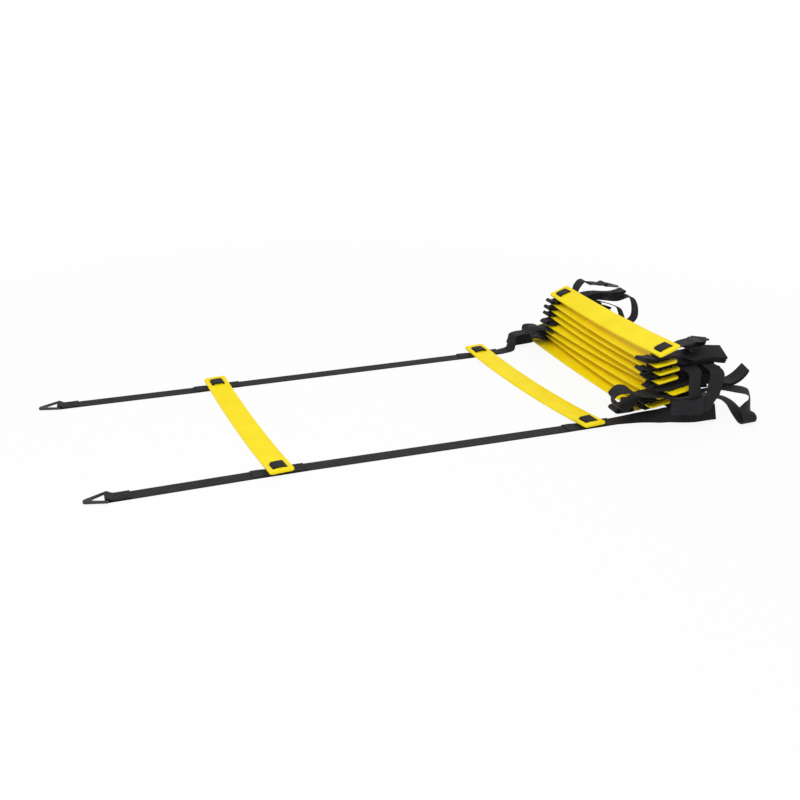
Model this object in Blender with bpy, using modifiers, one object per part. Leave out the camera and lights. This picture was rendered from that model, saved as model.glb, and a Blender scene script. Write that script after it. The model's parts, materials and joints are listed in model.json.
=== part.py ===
"""Agility ladder with flat slat rungs on two webbing straps.

Two rungs lie flat on the floor at the free end, and the other eight are piled on each
other with the webbing of every bay looped beside them.

Frame: +X runs along the straps from the free end to the pile, +Y along the rungs away
from the viewer, +Z up. The origin is on the floor under the middle of the first rung.
"""

import math

import bmesh
import bpy
import numpy as np
from mathutils import Matrix, Vector

for old in list(bpy.data.objects):
    bpy.data.objects.remove(old, do_unlink=True)

mm = 0.001

# Driving sizes of the rungs
RUNG_LENGTH = 420 * mm
RUNG_SPACING = 500 * mm
RUNG_WIDTH = 38 * mm
RUNG_THICKNESS = 4 * mm
RUNG_CORNER_RADIUS = 5 * mm
RUNG_EDGE_ROUND = 0.9 * mm
RUNG_SAG_LAID_OUT = 9 * mm
RUNG_SAG_PILED = 5 * mm
SLOT_OFFSET = 12 * mm
SLOT_WIDTH = 4.6 * mm
SLOT_SIDE_PLAY = 1.3 * mm

# Driving sizes of the webbing
STRAP_WIDTH = 25 * mm
STRAP_THICKNESS = 1.6 * mm
STRAP_INSET = 23 * mm
FIT_GAP = 0.3 * mm
WELD = 0.01 * mm

# Keeper: the short webbing loop that is sewn on the strap and holds the rung's bridge
KEEPER_REACH = 40 * mm
KEEPER_REACH_PILED = 17 * mm
CREASE_LAP = 3 * mm
KEEPER_LAP_PILED = 2 * mm
KEEPER_BEND = 1.9 * mm

# Ends of the straps with their triangular rings
NEAR_TAIL_LENGTH = 247 * mm
FAR_TAIL_LENGTH = 272 * mm
FOLD_BACK = 32 * mm
RING_BAR_DIAMETER = 3.6 * mm
RING_LENGTH = 32 * mm
RING_BASE_WIDTH = 37 * mm
RING_TIP_WIDTH = 9 * mm
RING_CORNER_RADIUS = 3 * mm

# How the ladder lies
RUNG_1_TURN = math.radians(5.6)
RUNG_2_TURN = math.radians(6.4)
RUNG_2_ASIDE = -8.4 * mm
NEAR_TAIL_ASIDE = 2 * mm
FAR_TAIL_ASIDE = 7 * mm
LEAD_IN_DRIFT = 24 * mm
PILE_AHEAD = 136 * mm
LOOP_GRID = 10 * mm
FOLD_RADIUS = 3.1 * mm
CREASE_RADIUS = 1.35 * mm
CREASE_ROOM = 2 * mm

# Worked out from the sizes above
STRAP_Y = RUNG_LENGTH / 2 - STRAP_INSET
HALF_SLAT = RUNG_THICKNESS / 2
HALF_STRAP = STRAP_THICKNESS / 2
RING_BAR_RADIUS = RING_BAR_DIAMETER / 2
LOOP_INSIDE = RING_BAR_RADIUS + FIT_GAP
LOOP_OUTSIDE = LOOP_INSIDE + STRAP_THICKNESS
PILE_X = RUNG_SPACING + PILE_AHEAD
SIDES = {"near": -1, "far": 1}


def play_for(sag):
    """Room that a bowed slat needs under a straight keeper, from its slope at the strap."""
    slope = 2 * sag * STRAP_Y / (RUNG_LENGTH / 2) ** 2
    return slope * STRAP_WIDTH / 2 + FIT_GAP


LAID_OUT_PLAY = play_for(RUNG_SAG_LAID_OUT)
PILED_PLAY = play_for(RUNG_SAG_PILED)
ROOF_TOP_PILED = HALF_SLAT + PILED_PLAY + STRAP_THICKNESS
BASE_DEPTH_PILED = HALF_SLAT + PILED_PLAY + 2 * STRAP_THICKNESS
PILE_LAYER = ROOF_TOP_PILED + BASE_DEPTH_PILED + STRAP_THICKNESS + 2 * FIT_GAP

# Each piled rung: its middle along X in rung widths from the pile's own middle and along Y
# in rung lengths, its height at the near and the far strap in layers, its turn and its roll
PILE_SHARES = [
    (-0.263, 0.071, 0.745, 0.745, 2.0, 8.0),
    (0.066, -0.014, 2.07, 1.88, 0.0, 8.0),
    (0.079, -0.024, 3.357, 3.017, 2.5, 8.0),
    (0.184, -0.086, 4.542, 4.123, 4.0, 8.0),
    (0.066, -0.055, 5.845, 5.27, 0.0, 8.0),
    (0.053, -0.062, 7.07, 6.31, 0.0, 8.0),
    (-0.053, -0.074, 8.31, 7.37, -1.5, 8.0),
    (-0.079, -0.095, 10.19, 8.87, -1.5, 20.0),
]


def collection(name):
    made = bpy.data.collections.new(name)
    bpy.context.scene.collection.children.link(made)
    return made


PARTS = collection("agility_ladder")
CUTTERS = collection("cutters")


def material(name, colour, roughness, metallic=0.0):
    made = bpy.data.materials.new(name)
    made.use_nodes = True
    shader = made.node_tree.nodes["Principled BSDF"]
    shader.inputs["Base Color"].default_value = (*colour, 1.0)
    shader.inputs["Roughness"].default_value = roughness
    shader.inputs["Metallic"].default_value = metallic
    return made


YELLOW_PLASTIC = material("yellow_plastic", (0.93, 0.70, 0.01), 0.42)
BLACK_WEBBING = material("black_webbing", (0.022, 0.022, 0.026), 0.85)
BLACK_PLASTIC = material("black_plastic", (0.018, 0.018, 0.020), 0.35)


def add_object(name, data, finish, parent=None):
    made = bpy.data.objects.new(name, data)
    if not data.materials:
        data.materials.append(finish)
    PARTS.objects.link(made)
    if parent:
        made.parent = parent
    return made


def add_empty(name, matrix):
    made = bpy.data.objects.new(name, None)
    made.empty_display_size = STRAP_WIDTH
    PARTS.objects.link(made)
    made.matrix_world = matrix
    return made


def hang_on(piece, empty):
    """Parents a piece to an empty on its joint's axis, and leaves it where it is."""
    bpy.context.view_layer.update()
    place = piece.matrix_world.copy()
    piece.parent = empty
    piece.matrix_parent_inverse = empty.matrix_world.inverted()
    piece.matrix_world = place


def mesh_from_object(source, name):
    """A plain mesh of an object as it is seen, with its loose caps welded."""
    bpy.context.view_layer.update()
    seen = source.evaluated_get(bpy.context.evaluated_depsgraph_get())
    mesh = bpy.data.meshes.new_from_object(seen)
    mesh.name = name
    body = bmesh.new()
    body.from_mesh(mesh)
    bmesh.ops.remove_doubles(body, verts=body.verts, dist=WELD)
    bmesh.ops.recalc_face_normals(body, faces=body.faces)
    body.to_mesh(mesh)
    body.free()
    return mesh


def outline_mesh(name, loops, width):
    """A flat outline in X and Z, with any holes, given its width along Y."""
    curve = bpy.data.curves.new(name, "CURVE")
    curve.dimensions = "2D"
    curve.fill_mode = "BOTH"
    curve.extrude = width / 2
    for loop in loops:
        spline = curve.splines.new("POLY")
        spline.points.add(len(loop) - 1)
        for point, (x, z) in zip(spline.points, loop):
            point.co = (x, z, 0.0, 1.0)
        spline.use_cyclic_u = True
    source = bpy.data.objects.new(name, curve)
    CUTTERS.objects.link(source)
    mesh = mesh_from_object(source, name)
    bpy.data.objects.remove(source, do_unlink=True)
    bpy.data.curves.remove(curve)
    mesh.transform(Matrix.Rotation(math.radians(90), 4, "X"))
    return mesh


def corner_arc(centre, radius, start, end, steps):
    """Points of an arc between two angles in degrees."""
    points = []
    for step in range(steps + 1):
        angle = math.radians(start + (end - start) * step / steps)
        points.append((centre[0] + radius * math.cos(angle),
                       centre[1] + radius * math.sin(angle)))
    return points


# Rungs: flat plastic slats with two slots near each end
SAG_STATIONS = 7
SLOT_OVERRUN = 2 * RUNG_THICKNESS


def sag_height(y, sag):
    """Height of the slat's middle plane over its height at the straps."""
    share = y / (RUNG_LENGTH / 2)
    strap_share = STRAP_Y / (RUNG_LENGTH / 2)
    return sag * (share ** 2 - strap_share ** 2)


def slot_cutter(name, x, y, sag):
    length = STRAP_WIDTH + 2 * SLOT_SIDE_PLAY
    body = bmesh.new()
    bmesh.ops.create_cube(body, size=1.0)
    bmesh.ops.scale(body, vec=(SLOT_WIDTH, length, 2 * SLOT_OVERRUN), verts=body.verts)
    upright = [edge for edge in body.edges
               if abs(edge.verts[0].co.z - edge.verts[1].co.z) > SLOT_OVERRUN]
    bmesh.ops.bevel(body, geom=upright, offset=SLOT_WIDTH / 3, segments=1, profile=0.5,
                    affect="EDGES", material=-1)
    mesh = bpy.data.meshes.new(name)
    body.to_mesh(mesh)
    body.free()
    made = bpy.data.objects.new(name, mesh)
    CUTTERS.objects.link(made)
    made.location = (x, y, sag_height(y, sag))
    made.hide_render = True
    made.display_type = "WIRE"
    return made


def slat_mesh(name, sag):
    """One slat in its own frame: X across, Y along, Z = 0 at the straps."""
    body = bmesh.new()
    bmesh.ops.create_cube(body, size=1.0)
    bmesh.ops.scale(body, vec=(RUNG_WIDTH, RUNG_LENGTH, RUNG_THICKNESS), verts=body.verts)
    upright = [edge for edge in body.edges
               if abs(edge.verts[0].co.z - edge.verts[1].co.z) > HALF_SLAT]
    bmesh.ops.bevel(body, geom=upright, offset=RUNG_CORNER_RADIUS, segments=3, profile=0.5,
                    affect="EDGES", material=-1)
    rims = [edge for edge in body.edges
            if abs(edge.verts[0].co.z - edge.verts[1].co.z) < HALF_SLAT / 2]
    bmesh.ops.bevel(body, geom=rims, offset=RUNG_EDGE_ROUND, segments=2, profile=0.5,
                    affect="EDGES", material=-1)
    for station in range(1, SAG_STATIONS):
        y = RUNG_LENGTH * (station / SAG_STATIONS - 0.5)
        everything = body.verts[:] + body.edges[:] + body.faces[:]
        bmesh.ops.bisect_plane(body, geom=everything, dist=WELD,
                               plane_co=(0, y, 0), plane_no=(0, 1, 0))
    for vert in body.verts:
        vert.co.z += sag_height(vert.co.y, sag)
    mesh = bpy.data.meshes.new(name)
    body.to_mesh(mesh)
    body.free()
    slat = bpy.data.objects.new(name, mesh)
    CUTTERS.objects.link(slat)
    tools = []
    for side in SIDES.values():
        for across in (-SLOT_OFFSET, SLOT_OFFSET):
            tool = slot_cutter(f"{name}_slot_{len(tools)}", across, side * STRAP_Y, sag)
            cut = slat.modifiers.new("slot", "BOOLEAN")
            cut.operation = "DIFFERENCE"
            cut.solver = "EXACT"
            cut.object = tool
            tools.append(tool)
    cut_mesh = mesh_from_object(slat, name)
    for used in [slat, *tools]:
        bpy.data.objects.remove(used, do_unlink=True)
    cut_mesh.shade_smooth()
    cut_mesh.set_sharp_from_angle(angle=math.radians(40))
    return cut_mesh


# Keepers: a strap length under the rung with the loop over the bridge sewn on it
def keeper_mesh(name, reach, lap, under, over):
    """under and over are the free room below and above the slat's bridge."""
    tab_top = -HALF_SLAT - under
    strap_top = tab_top - STRAP_THICKNESS
    base = strap_top - STRAP_THICKNESS
    leg_out = SLOT_OFFSET + HALF_STRAP
    leg_in = SLOT_OFFSET - HALF_STRAP
    roof_in = HALF_SLAT + over
    roof_out = roof_in + STRAP_THICKNESS
    end = reach + lap
    bend = KEEPER_BEND
    inner_bend = bend / 3
    outer = [(-end, base), (end, base), (end, strap_top), (reach, strap_top)]
    outer += [(reach, tab_top), (leg_out, tab_top)]
    outer += corner_arc((leg_out - bend, roof_out - bend), bend, 0, 90, 3)
    outer += corner_arc((bend - leg_out, roof_out - bend), bend, 90, 180, 3)
    outer += [(-leg_out, tab_top), (-reach, tab_top), (-reach, strap_top), (-end, strap_top)]
    inner = corner_arc((leg_in - inner_bend, roof_in - inner_bend), inner_bend, 0, 90, 1)
    inner += corner_arc((inner_bend - leg_in, roof_in - inner_bend), inner_bend, 90, 180, 1)
    inner += [(-leg_in, strap_top), (leg_in, strap_top)]
    return outline_mesh(name, [outer, inner], STRAP_WIDTH)


def skew_keeper(mesh, turn, under):
    """Brings the strap length back in line with the strap, under a rung that lies askew."""
    for vert in mesh.vertices:
        share = min(1.0, max(0.0, (-HALF_SLAT - vert.co.z) / under))
        vert.co.y -= math.tan(turn) * vert.co.x * share


# Straps: a sheet along a smooth route, given the webbing's thickness
ROW_TURN = math.radians(37)
ROW_REACH = 60 * mm
CHORD_SLACK = 0.18 * mm


def smooth_route(stops):
    """Rows of place and half width on a smooth curve through the stops."""
    stops = np.array([[*place, *half] for place, half in stops])
    padded = [2 * stops[0] - stops[1], *stops, 2 * stops[-1] - stops[-2]]
    dense = []
    for a, b, c, d in zip(padded, padded[1:], padded[2:], padded[3:]):
        knots = [0.0]
        for here, there in ((a, b), (b, c), (c, d)):
            knots.append(knots[-1] + max(np.linalg.norm((there - here)[:3]), WELD) ** 0.5)
        t0, t1, t2, t3 = knots
        for part in range(20):
            t = t1 + (t2 - t1) * part / 20
            a1 = a * ((t1 - t) / (t1 - t0)) + b * ((t - t0) / (t1 - t0))
            a2 = b * ((t2 - t) / (t2 - t1)) + c * ((t - t1) / (t2 - t1))
            a3 = c * ((t3 - t) / (t3 - t2)) + d * ((t - t2) / (t3 - t2))
            b1 = a1 * ((t2 - t) / (t2 - t0)) + a2 * ((t - t0) / (t2 - t0))
            b2 = a2 * ((t3 - t) / (t3 - t1)) + a3 * ((t - t1) / (t3 - t1))
            dense.append(b1 * ((t2 - t) / (t2 - t1)) + b2 * ((t - t1) / (t2 - t1)))
    dense.append(stops[-1])
    return dense


def route_length(stops):
    dense = smooth_route(stops)
    return sum(np.linalg.norm((there - here)[:3]) for here, there in zip(dense, dense[1:]))


def off_the_chord(points, start, end):
    """How far the path between two of its points leaves the straight line between them."""
    here, there = points[start][:3], points[end][:3]
    chord = (there - here) / max(np.linalg.norm(there - here), WELD)
    worst = 0.0
    for point in points[start + 1:end]:
        offset = point[:3] - here
        worst = max(worst, np.linalg.norm(offset - chord * np.dot(offset, chord)))
    return worst


def strap_rows(stops):
    """Only the rows that a bend or a long straight run needs."""
    dense = smooth_route(stops)
    for point in dense:
        point[2] = max(point[2], HALF_STRAP)
    rows = [dense[0]]
    last = 0
    turned = 0.0
    for index in range(1, len(dense) - 1):
        into = Vector((dense[index] - dense[index - 1])[:3])
        out = Vector((dense[index + 1] - dense[index])[:3])
        turned += into.angle(out, 0.0)
        run = np.linalg.norm((dense[index] - dense[last])[:3])
        bent = turned > ROW_TURN or off_the_chord(dense, last, index + 1) > CHORD_SLACK
        if run > WELD and (bent or run > ROW_REACH):
            rows.append(dense[index])
            last = index
            turned = 0.0
    if np.linalg.norm((dense[-1] - rows[-1])[:3]) < STRAP_THICKNESS / 2 and len(rows) > 1:
        rows.pop()
    rows.append(dense[-1])
    return rows


def add_strap(name, stops, parent=None):
    rows = strap_rows(stops)
    body = bmesh.new()
    pairs = []
    for row in rows:
        place = Vector(row[:3])
        half = Vector(row[3:])
        pairs.append((body.verts.new(place - half), body.verts.new(place + half)))
    for (a, b), (c, d) in zip(pairs, pairs[1:]):
        body.faces.new((a, b, d, c))
    mesh = bpy.data.meshes.new(name)
    body.to_mesh(mesh)
    body.free()
    mesh.shade_smooth()
    mesh.set_sharp_from_angle(angle=math.radians(50))
    made = add_object(name, mesh, BLACK_WEBBING, parent)
    wall = made.modifiers.new("webbing", "SOLIDIFY")
    wall.thickness = STRAP_THICKNESS
    wall.offset = 0.0
    wall.use_even_offset = True
    print(name, "webbing", round(route_length(stops) / mm, 1), "mm")
    return made


# Where the rungs sit
SEAT_HEIGHT = HALF_SLAT - sag_height(RUNG_LENGTH / 2 / SAG_STATIONS, RUNG_SAG_LAID_OUT)
LAID_OUT_UNDER = SEAT_HEIGHT - HALF_SLAT - 2 * STRAP_THICKNESS


def laid_out_seat(x, y, turn):
    return Matrix.Translation((x, y, SEAT_HEIGHT)) @ Matrix.Rotation(turn, 4, "Z")


def piled_seat(x, y, near, far, turn, roll):
    place = Matrix.Translation((PILE_X + x * RUNG_WIDTH, y * RUNG_LENGTH,
                                (near + far) / 2 * PILE_LAYER))
    pitch = math.atan((far - near) * PILE_LAYER / (2 * STRAP_Y))
    return (place @ Matrix.Rotation(math.radians(turn), 4, "Z")
            @ Matrix.Rotation(pitch, 4, "X")
            @ Matrix.Rotation(math.radians(-roll), 4, "Y"))


SEATS = [
    laid_out_seat(0.0, 0.0, RUNG_1_TURN),
    laid_out_seat(RUNG_SPACING, RUNG_2_ASIDE, RUNG_2_TURN),
]
TURNS = [RUNG_1_TURN, RUNG_2_TURN]
for row in PILE_SHARES:
    SEATS.append(piled_seat(*row))
    TURNS.append(0.0)

laid_out_slat = slat_mesh("laid_out_slat", RUNG_SAG_LAID_OUT)
piled_slat = slat_mesh("piled_slat", RUNG_SAG_PILED)
RUNGS = {}
KEEPERS = {}
for index, (seat, turn) in enumerate(zip(SEATS, TURNS)):
    number = index + 1
    laid_out = index < 2
    rung = add_object(f"rung_{number:02d}", laid_out_slat if laid_out else piled_slat,
                      YELLOW_PLASTIC)
    rung.matrix_world = seat
    RUNGS[number] = rung
    for side, sign in SIDES.items():
        name = f"{side}_keeper_{number:02d}"
        if laid_out:
            mesh = keeper_mesh(name, KEEPER_REACH, CREASE_LAP, LAID_OUT_UNDER, LAID_OUT_PLAY)
            skew_keeper(mesh, turn, LAID_OUT_UNDER)
        else:
            mesh = keeper_mesh(name, KEEPER_REACH_PILED, KEEPER_LAP_PILED,
                               PILED_PLAY, PILED_PLAY)
        keeper = add_object(name, mesh, BLACK_WEBBING)
        keeper.matrix_world = seat @ Matrix.Translation((0, sign * STRAP_Y, 0))
        KEEPERS[side, number] = keeper


# Stops of the straps: each is a place and half of the webbing's width as a vector
LAID_OUT_END = KEEPER_REACH + CREASE_LAP + FIT_GAP
PILED_END = KEEPER_REACH_PILED + KEEPER_LAP_PILED + FIT_GAP
PILED_STRAP_MID = HALF_STRAP - BASE_DEPTH_PILED
EDGE_RUN = 2 * STRAP_THICKNESS


def half_width(heading=0.0, tilt=0.0):
    """Half of the width: the heading turns it in plan, and the tilt lifts its far edge."""
    turned = Matrix.Rotation(math.radians(heading), 3, "Z")
    lifted = Matrix.Rotation(math.radians(tilt), 3, "X")
    return turned @ lifted @ Vector((0, STRAP_WIDTH / 2, 0))


def laid_out_stop(number, sign, along):
    """On the floor beside a laid-out rung, along the strap from the rung's middle line."""
    seat = SEATS[number - 1]
    turn = TURNS[number - 1]
    local = Vector((along, sign * STRAP_Y - math.tan(turn) * along, 0))
    place = seat @ local
    place.z = HALF_STRAP
    half = seat.to_3x3() @ Vector((0, STRAP_WIDTH / 2, 0))
    return place, half


def piled_stop(number, sign, along, height, shift=0.0):
    seat = SEATS[number - 1]
    place = seat @ Vector((along, sign * STRAP_Y + shift, height))
    half = seat.to_3x3() @ Vector((0, STRAP_WIDTH / 2, 0))
    return place, half


def leaves(number, sign):
    """Two stops where the webbing comes out from under a piled rung on the right."""
    return [piled_stop(number, sign, PILED_END, PILED_STRAP_MID),
            piled_stop(number, sign, PILED_END + EDGE_RUN, PILED_STRAP_MID)]


def crosses(number, sign, level, shift=0.0):
    """Stops where the webbing runs back over a rung's keeper, from right to left."""
    height = ROOF_TOP_PILED + FIT_GAP + HALF_STRAP + level * (STRAP_THICKNESS + FIT_GAP)
    return [piled_stop(number, sign, share * RUNG_WIDTH, height, shift * share)
            for share in (0.5, 0.25, -0.25, -0.5)]


def turns_up(number, sign, level):
    """Stops of the fold on the left, from over one rung to under the next."""
    low = crosses(number, sign, level)[-1][0]
    entry, half = piled_stop(number + 1, sign, -PILED_END, PILED_STRAP_MID)
    run = piled_stop(number + 1, sign, -PILED_END - EDGE_RUN, PILED_STRAP_MID)
    back = Vector((-FOLD_RADIUS, 0, 0))
    rise = Vector((0, 0, FOLD_RADIUS))
    middle = entry.lerp(low, 0.5)
    middle.x = min(entry.x, low.x)
    return [(middle + 2 * back - 0.95 * rise, half), (middle + 3 * back, half),
            (middle + 2.1 * back + 0.95 * rise, half), run, (entry, half)]


def on_grid(x, y, z):
    """A place on the grid of the loops: X from the pile's middle, then Y and Z."""
    return Vector((PILE_X + x * LOOP_GRID, y * LOOP_GRID, z * LOOP_GRID))


def drawn(rows):
    """Stops of a loop drawn on the grid, with the inner ones' widths set square to its run."""
    stops = [(on_grid(x, y, z), half_width(heading, tilt)) for x, y, z, heading, tilt in rows]
    for index in range(1, len(stops) - 1):
        place, half = stops[index]
        run = (stops[index + 1][0] - stops[index - 1][0]).normalized()
        stops[index] = (place, (half - run * half.dot(run)).normalized() * STRAP_WIDTH / 2)
    return stops


def bellows(first, run, layer, strands, half):
    """Webbing folded to and fro: a run is one strand, a layer leads to the next strand."""
    stops = []
    square = layer - half * (layer.dot(half) / half.length_squared)
    for strand in range(strands - 1):
        outward = strand % 2 == 0
        end = first + strand * layer + (run if outward else Vector())
        ahead = run.normalized() * (square.length / 2) * (1 if outward else -1)
        for angle in (-90, -60, -30, 0, 30, 60, 90):
            turn = math.radians(angle)
            stops.append((end + layer * (1 + math.sin(turn)) / 2 + ahead * math.cos(turn), half))
    return stops


def corner(place, into, out, lift, hand):
    """A diagonal fold: the webbing comes along one way and leaves square to it."""
    into, out, lift = Vector(into), Vector(out), Vector(lift)
    wide = hand * STRAP_WIDTH / 2
    room = STRAP_WIDTH / 2 + CREASE_ROOM
    bulge = (into - out).normalized() * CREASE_RADIUS
    stops = [(place - into * room, out * wide)]
    for angle in (-90, -45, 0, 45, 90):
        turn = math.radians(angle)
        offset = lift * CREASE_RADIUS * (1 + math.sin(turn)) + bulge * math.cos(turn)
        stops.append((place + offset, (into + out) * wide))
    stops.append((place + lift * 2 * CREASE_RADIUS + out * room, into * wide))
    return stops


# The loops beside the pile, drawn on the grid: X from the pile's middle, Y, Z, heading, tilt.
# Each bay: the rows going out, the first place, run and layer of its folds, how many strands
# they have, their heading and tilt, and the rows coming back
ROUTE_SHARES = {
    ("near", 2): ([(-5.6, -19.7, 0.2, -6, 4), (-2.6, -20.4, 0.52, -14, 18),
                   (0.4, -21.9, 0.95, -20, 40), (3.2, -23.3, 1.15, -12, 52),
                   (5.6, -23.8, 1.18, -3, 52)],
                  (6.6, -23.9, 1.2), (2.2, 0.0, 0.0), (0.0, 0.32, 0.0), 4, 0, 52,
                  [(5.9, -22.3, 1.2, -30, 42), (5.0, -20.9, 1.05, -44, 22),
                   (4.1, -19.2, 1.1, -40, 8), (3.1, -18.1, 1.36, -24, 0)]),
    ("near", 3): ([(3.0, -15.7, 0.55, 0, 0), (4.6, -15.7, 0.14, 0, 0)],
                  (4.6, -15.7, 0.1), (6.6, 0.0, 0.0), (0.0, 0.0, 0.26), 4, 0, 0,
                  [(4.4, -15.6, 1.3, 0, 0), (3.6, -15.6, 1.86, 0, 0),
                   (2.7, -15.65, 2.0, 0, 0)]),
    ("near", 4): ([], (3.0, -19.3, 2.34), (2.4, 0.0, 0.0), (0.0, 0.0, -0.27), 3, 0, 0,
                  [(5.2, -20.0, 1.84, -16, 0), (8.0, -21.5, 2.6, -27, 0),
                   (10.0, -22.9, 3.1, -34, 0),
                   (11.2, -24.1, 2.7, -50, 0), (11.8, -25.5, 1.65, -68, 0),
                   (12.1, -26.8, 0.62, -76, 0), (12.2, -27.5, 0.24, -80, 0),
                   (12.24, -28.0, 0.14, -80, 0), (12.27, -28.27, 0.4, -80, 0),
                   (12.3, -28.05, 0.68, -80, 0), (12.55, -26.6, 1.35, -78, 0),
                   (13.6, -25.5, 2.2, -60, -5), (14.2, -24.9, 3.2, -46, -14),
                   (14.1, -24.6, 4.2, -38, -20), (13.3, -24.4, 4.85, -33, -10),
                   (12.0, -23.9, 4.95, -30, 0), (9.8, -23.0, 4.5, -28, 0),
                   (8.2, -22.1, 3.95, -27, 0), (6.6, -21.1, 3.55, -26, 0),
                   (4.6, -20.1, 3.42, -15, 0), (3.2, -19.4, 3.43, -3, 0)]),
    ("near", 5): ([(4.2, -19.3, 4.12, 0, 0)],
                  (4.4, -19.05, 4.16), (4.8, 0.0, 0.0), (0.0, 0.0, 0.28), 4, 0, 0,
                  [(4.1, -19.4, 5.02, 0, 0)]),
    ("near", 7): ([(3.1, -21.1, 7.1, 0, 0), (4.4, -21.2, 6.98, 0, 0)],
                  (3.4, -21.2, 6.98), (5.2, 0.0, 0.0), (0.0, 0.0, 0.26), 6, 0, 0, []),
    ("near", 9): ([(2.4, -21.9, 10.34, 0, 4), (3.6, -21.9, 10.4, 0, 26),
                   (4.6, -21.9, 10.4, 0, 39), (5.2, -21.9, 10.4, 0, 40),
                   (5.8, -21.9, 10.4, 0, 40), (7.2, -21.9, 10.4, 0, 40)],
                  (4.9, -21.9, 10.4), (3.8, 0.0, 0.0), (0.0, -0.2, 0.235), 6, 0, 40,
                  [(7.2, -22.9, 11.575, 0, 40), (5.9, -22.9, 11.575, 0, 40),
                   (5.2, -22.9, 11.57, 0, 39), (4.2, -22.65, 11.5, 0, 28), (3.0, -22.2, 11.4, 0, 8)]),
    ("far", 2): ([(-8.95, 18.3, 0.3, 14, 0), (-8.65, 18.5, 1.3, 14, 0),
                  (-8.5, 18.6, 2.3, 12, 0), (-8.25, 18.7, 2.75, 10, 0),
                  (-7.9, 18.8, 2.85, 9, 0)],
                 (-8.05, 18.8, 2.85), (2.4, 0.35, 0.0), (0.0, 0.18, -0.25), 11, 8, 0, []),
    ("far", 3): ([], (3.8, 21.7, 0.8), (6.5, 0.0, 0.0), (0.0, 0.0, 0.33), 4, 0, 0, []),
    ("far", 4): ([], (4.7, 18.1, 2.2), (6.0, 0.0, 0.0), (0.0, 0.0, 0.34), 4, 0, 0, []),
    ("far", 5): ([], (4.4, 17.7, 3.65), (4.8, 0.0, 0.0), (0.0, 0.0, 0.34), 4, 0, 0, []),
    ("far", 6): ([], (4.2, 15.1, 5.02), (6.0, 0.0, 0.0), (0.0, 0.0, 0.33), 4, 0, 0, []),
    ("far", 7): ([(3.4, 16.5, 6.42, 0, 0), (4.6, 16.6, 6.34, 0, 0)],
                 (4.6, 16.6, 6.32), (4.8, 0.0, 0.0), (0.0, 0.0, 0.235), 6, 0, 0, []),
    ("far", 8): ([(3.4, 16.1, 7.75, 0, 0)],
                 (4.6, 16.1, 7.75), (2.4, 0.0, 0.0), (0.0, 0.0, 0.27), 3, 0, 0,
                 [(6.0, 16.0, 8.3, 0, 0), (9.6, 15.8, 8.1, 0, 0), (12.0, 15.5, 7.3, 0, 0),
                  (13.0, 15.3, 5.9, 0, 0), (13.8, 15.2, 4.6, 0, 0),
                  (15.1, 15.1, 4.2, 0, 0), (16.2, 15.1, 4.9, 0, 0),
                  (16.3, 15.1, 6.4, 0, 0), (15.5, 15.2, 7.9, 0, 0),
                  (14.0, 15.4, 8.75, 0, 0), (11.0, 15.7, 8.78, 0, 0),
                  (7.0, 16.0, 8.75, 0, 0), (4.0, 16.1, 8.72, 0, 0)]),
    ("far", 9): ([], (4.4, 15.6, 9.15), (6.3, 0.0, 0.0), (0.0, 0.0, 0.33), 4, 0, 0, []),
}
# The bay that hangs down beside the pile and up again, with a diagonal fold at each turn
HANGING_SHARES = {
    "out": (4.13, -21.4, 8.85),
    "down": [(4.13, -24.2, 9.12, 90, 0), (4.13, -24.7, 8.9, 90, 0),
             (4.13, -24.95, 8.5, 90, 0), (4.13, -25.0, 6.0, 90, 0)],
    "foot": (4.13, -25.0, 3.4),
    "left": (2.6, -25.27, 3.4),
    "aside": (2.9, -0.5, -0.35),
    "layer": (0.0, -0.5, 0.0),
    "turn": (7.4, -25.74, 3.4),
    "up": [(7.4, -26.02, 6.0, 90, 0), (7.4, -25.95, 7.6, 90, 0), (7.4, -25.7, 8.25, 90, 0),
           (7.4, -25.1, 8.68, 90, 0), (7.4, -24.4, 8.84, 90, 0)],
    "back": (7.4, -21.5, 8.88),
    "home": [(5.35, -21.5, 9.46, 0, 0), (4.4, -21.45, 9.58, 0, 0), (3.6, -21.4, 9.68, 0, 0),
             (2.8, -21.35, 9.76, 0, 0)],
}
# The bay that ends in a slanting fold that stands out to the right
STANDING_SHARES = {
    "out": [(5.0, -22.2, 5.3, 0, 0), (7.0, -22.2, 5.12, 0, 0), (9.5, -22.3, 5.1, 0, 0),
            (11.3, -22.5, 5.4, 0, 0), (12.3, -22.6, 6.15, 0, 0)],
    "foot": (12.3, -22.6, 6.15),
    "rise": (1.5, 0.0, 1.5),
    "layer": (-0.21, 0.0, 0.21),
    "slant": (0, 0),
    "back": [(12.05, -22.6, 6.4, 0, 0), (11.1, -22.5, 5.74, 0, 0), (9.6, -22.3, 5.45, 0, 0),
             (7.6, -22.2, 5.42, 0, 0)],
    "inner": (5.3, -22.2, 5.46),
    "pair": (3.6, 0.0, 0.0),
    "step": (0.0, 0.0, 0.27),
}
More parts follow.
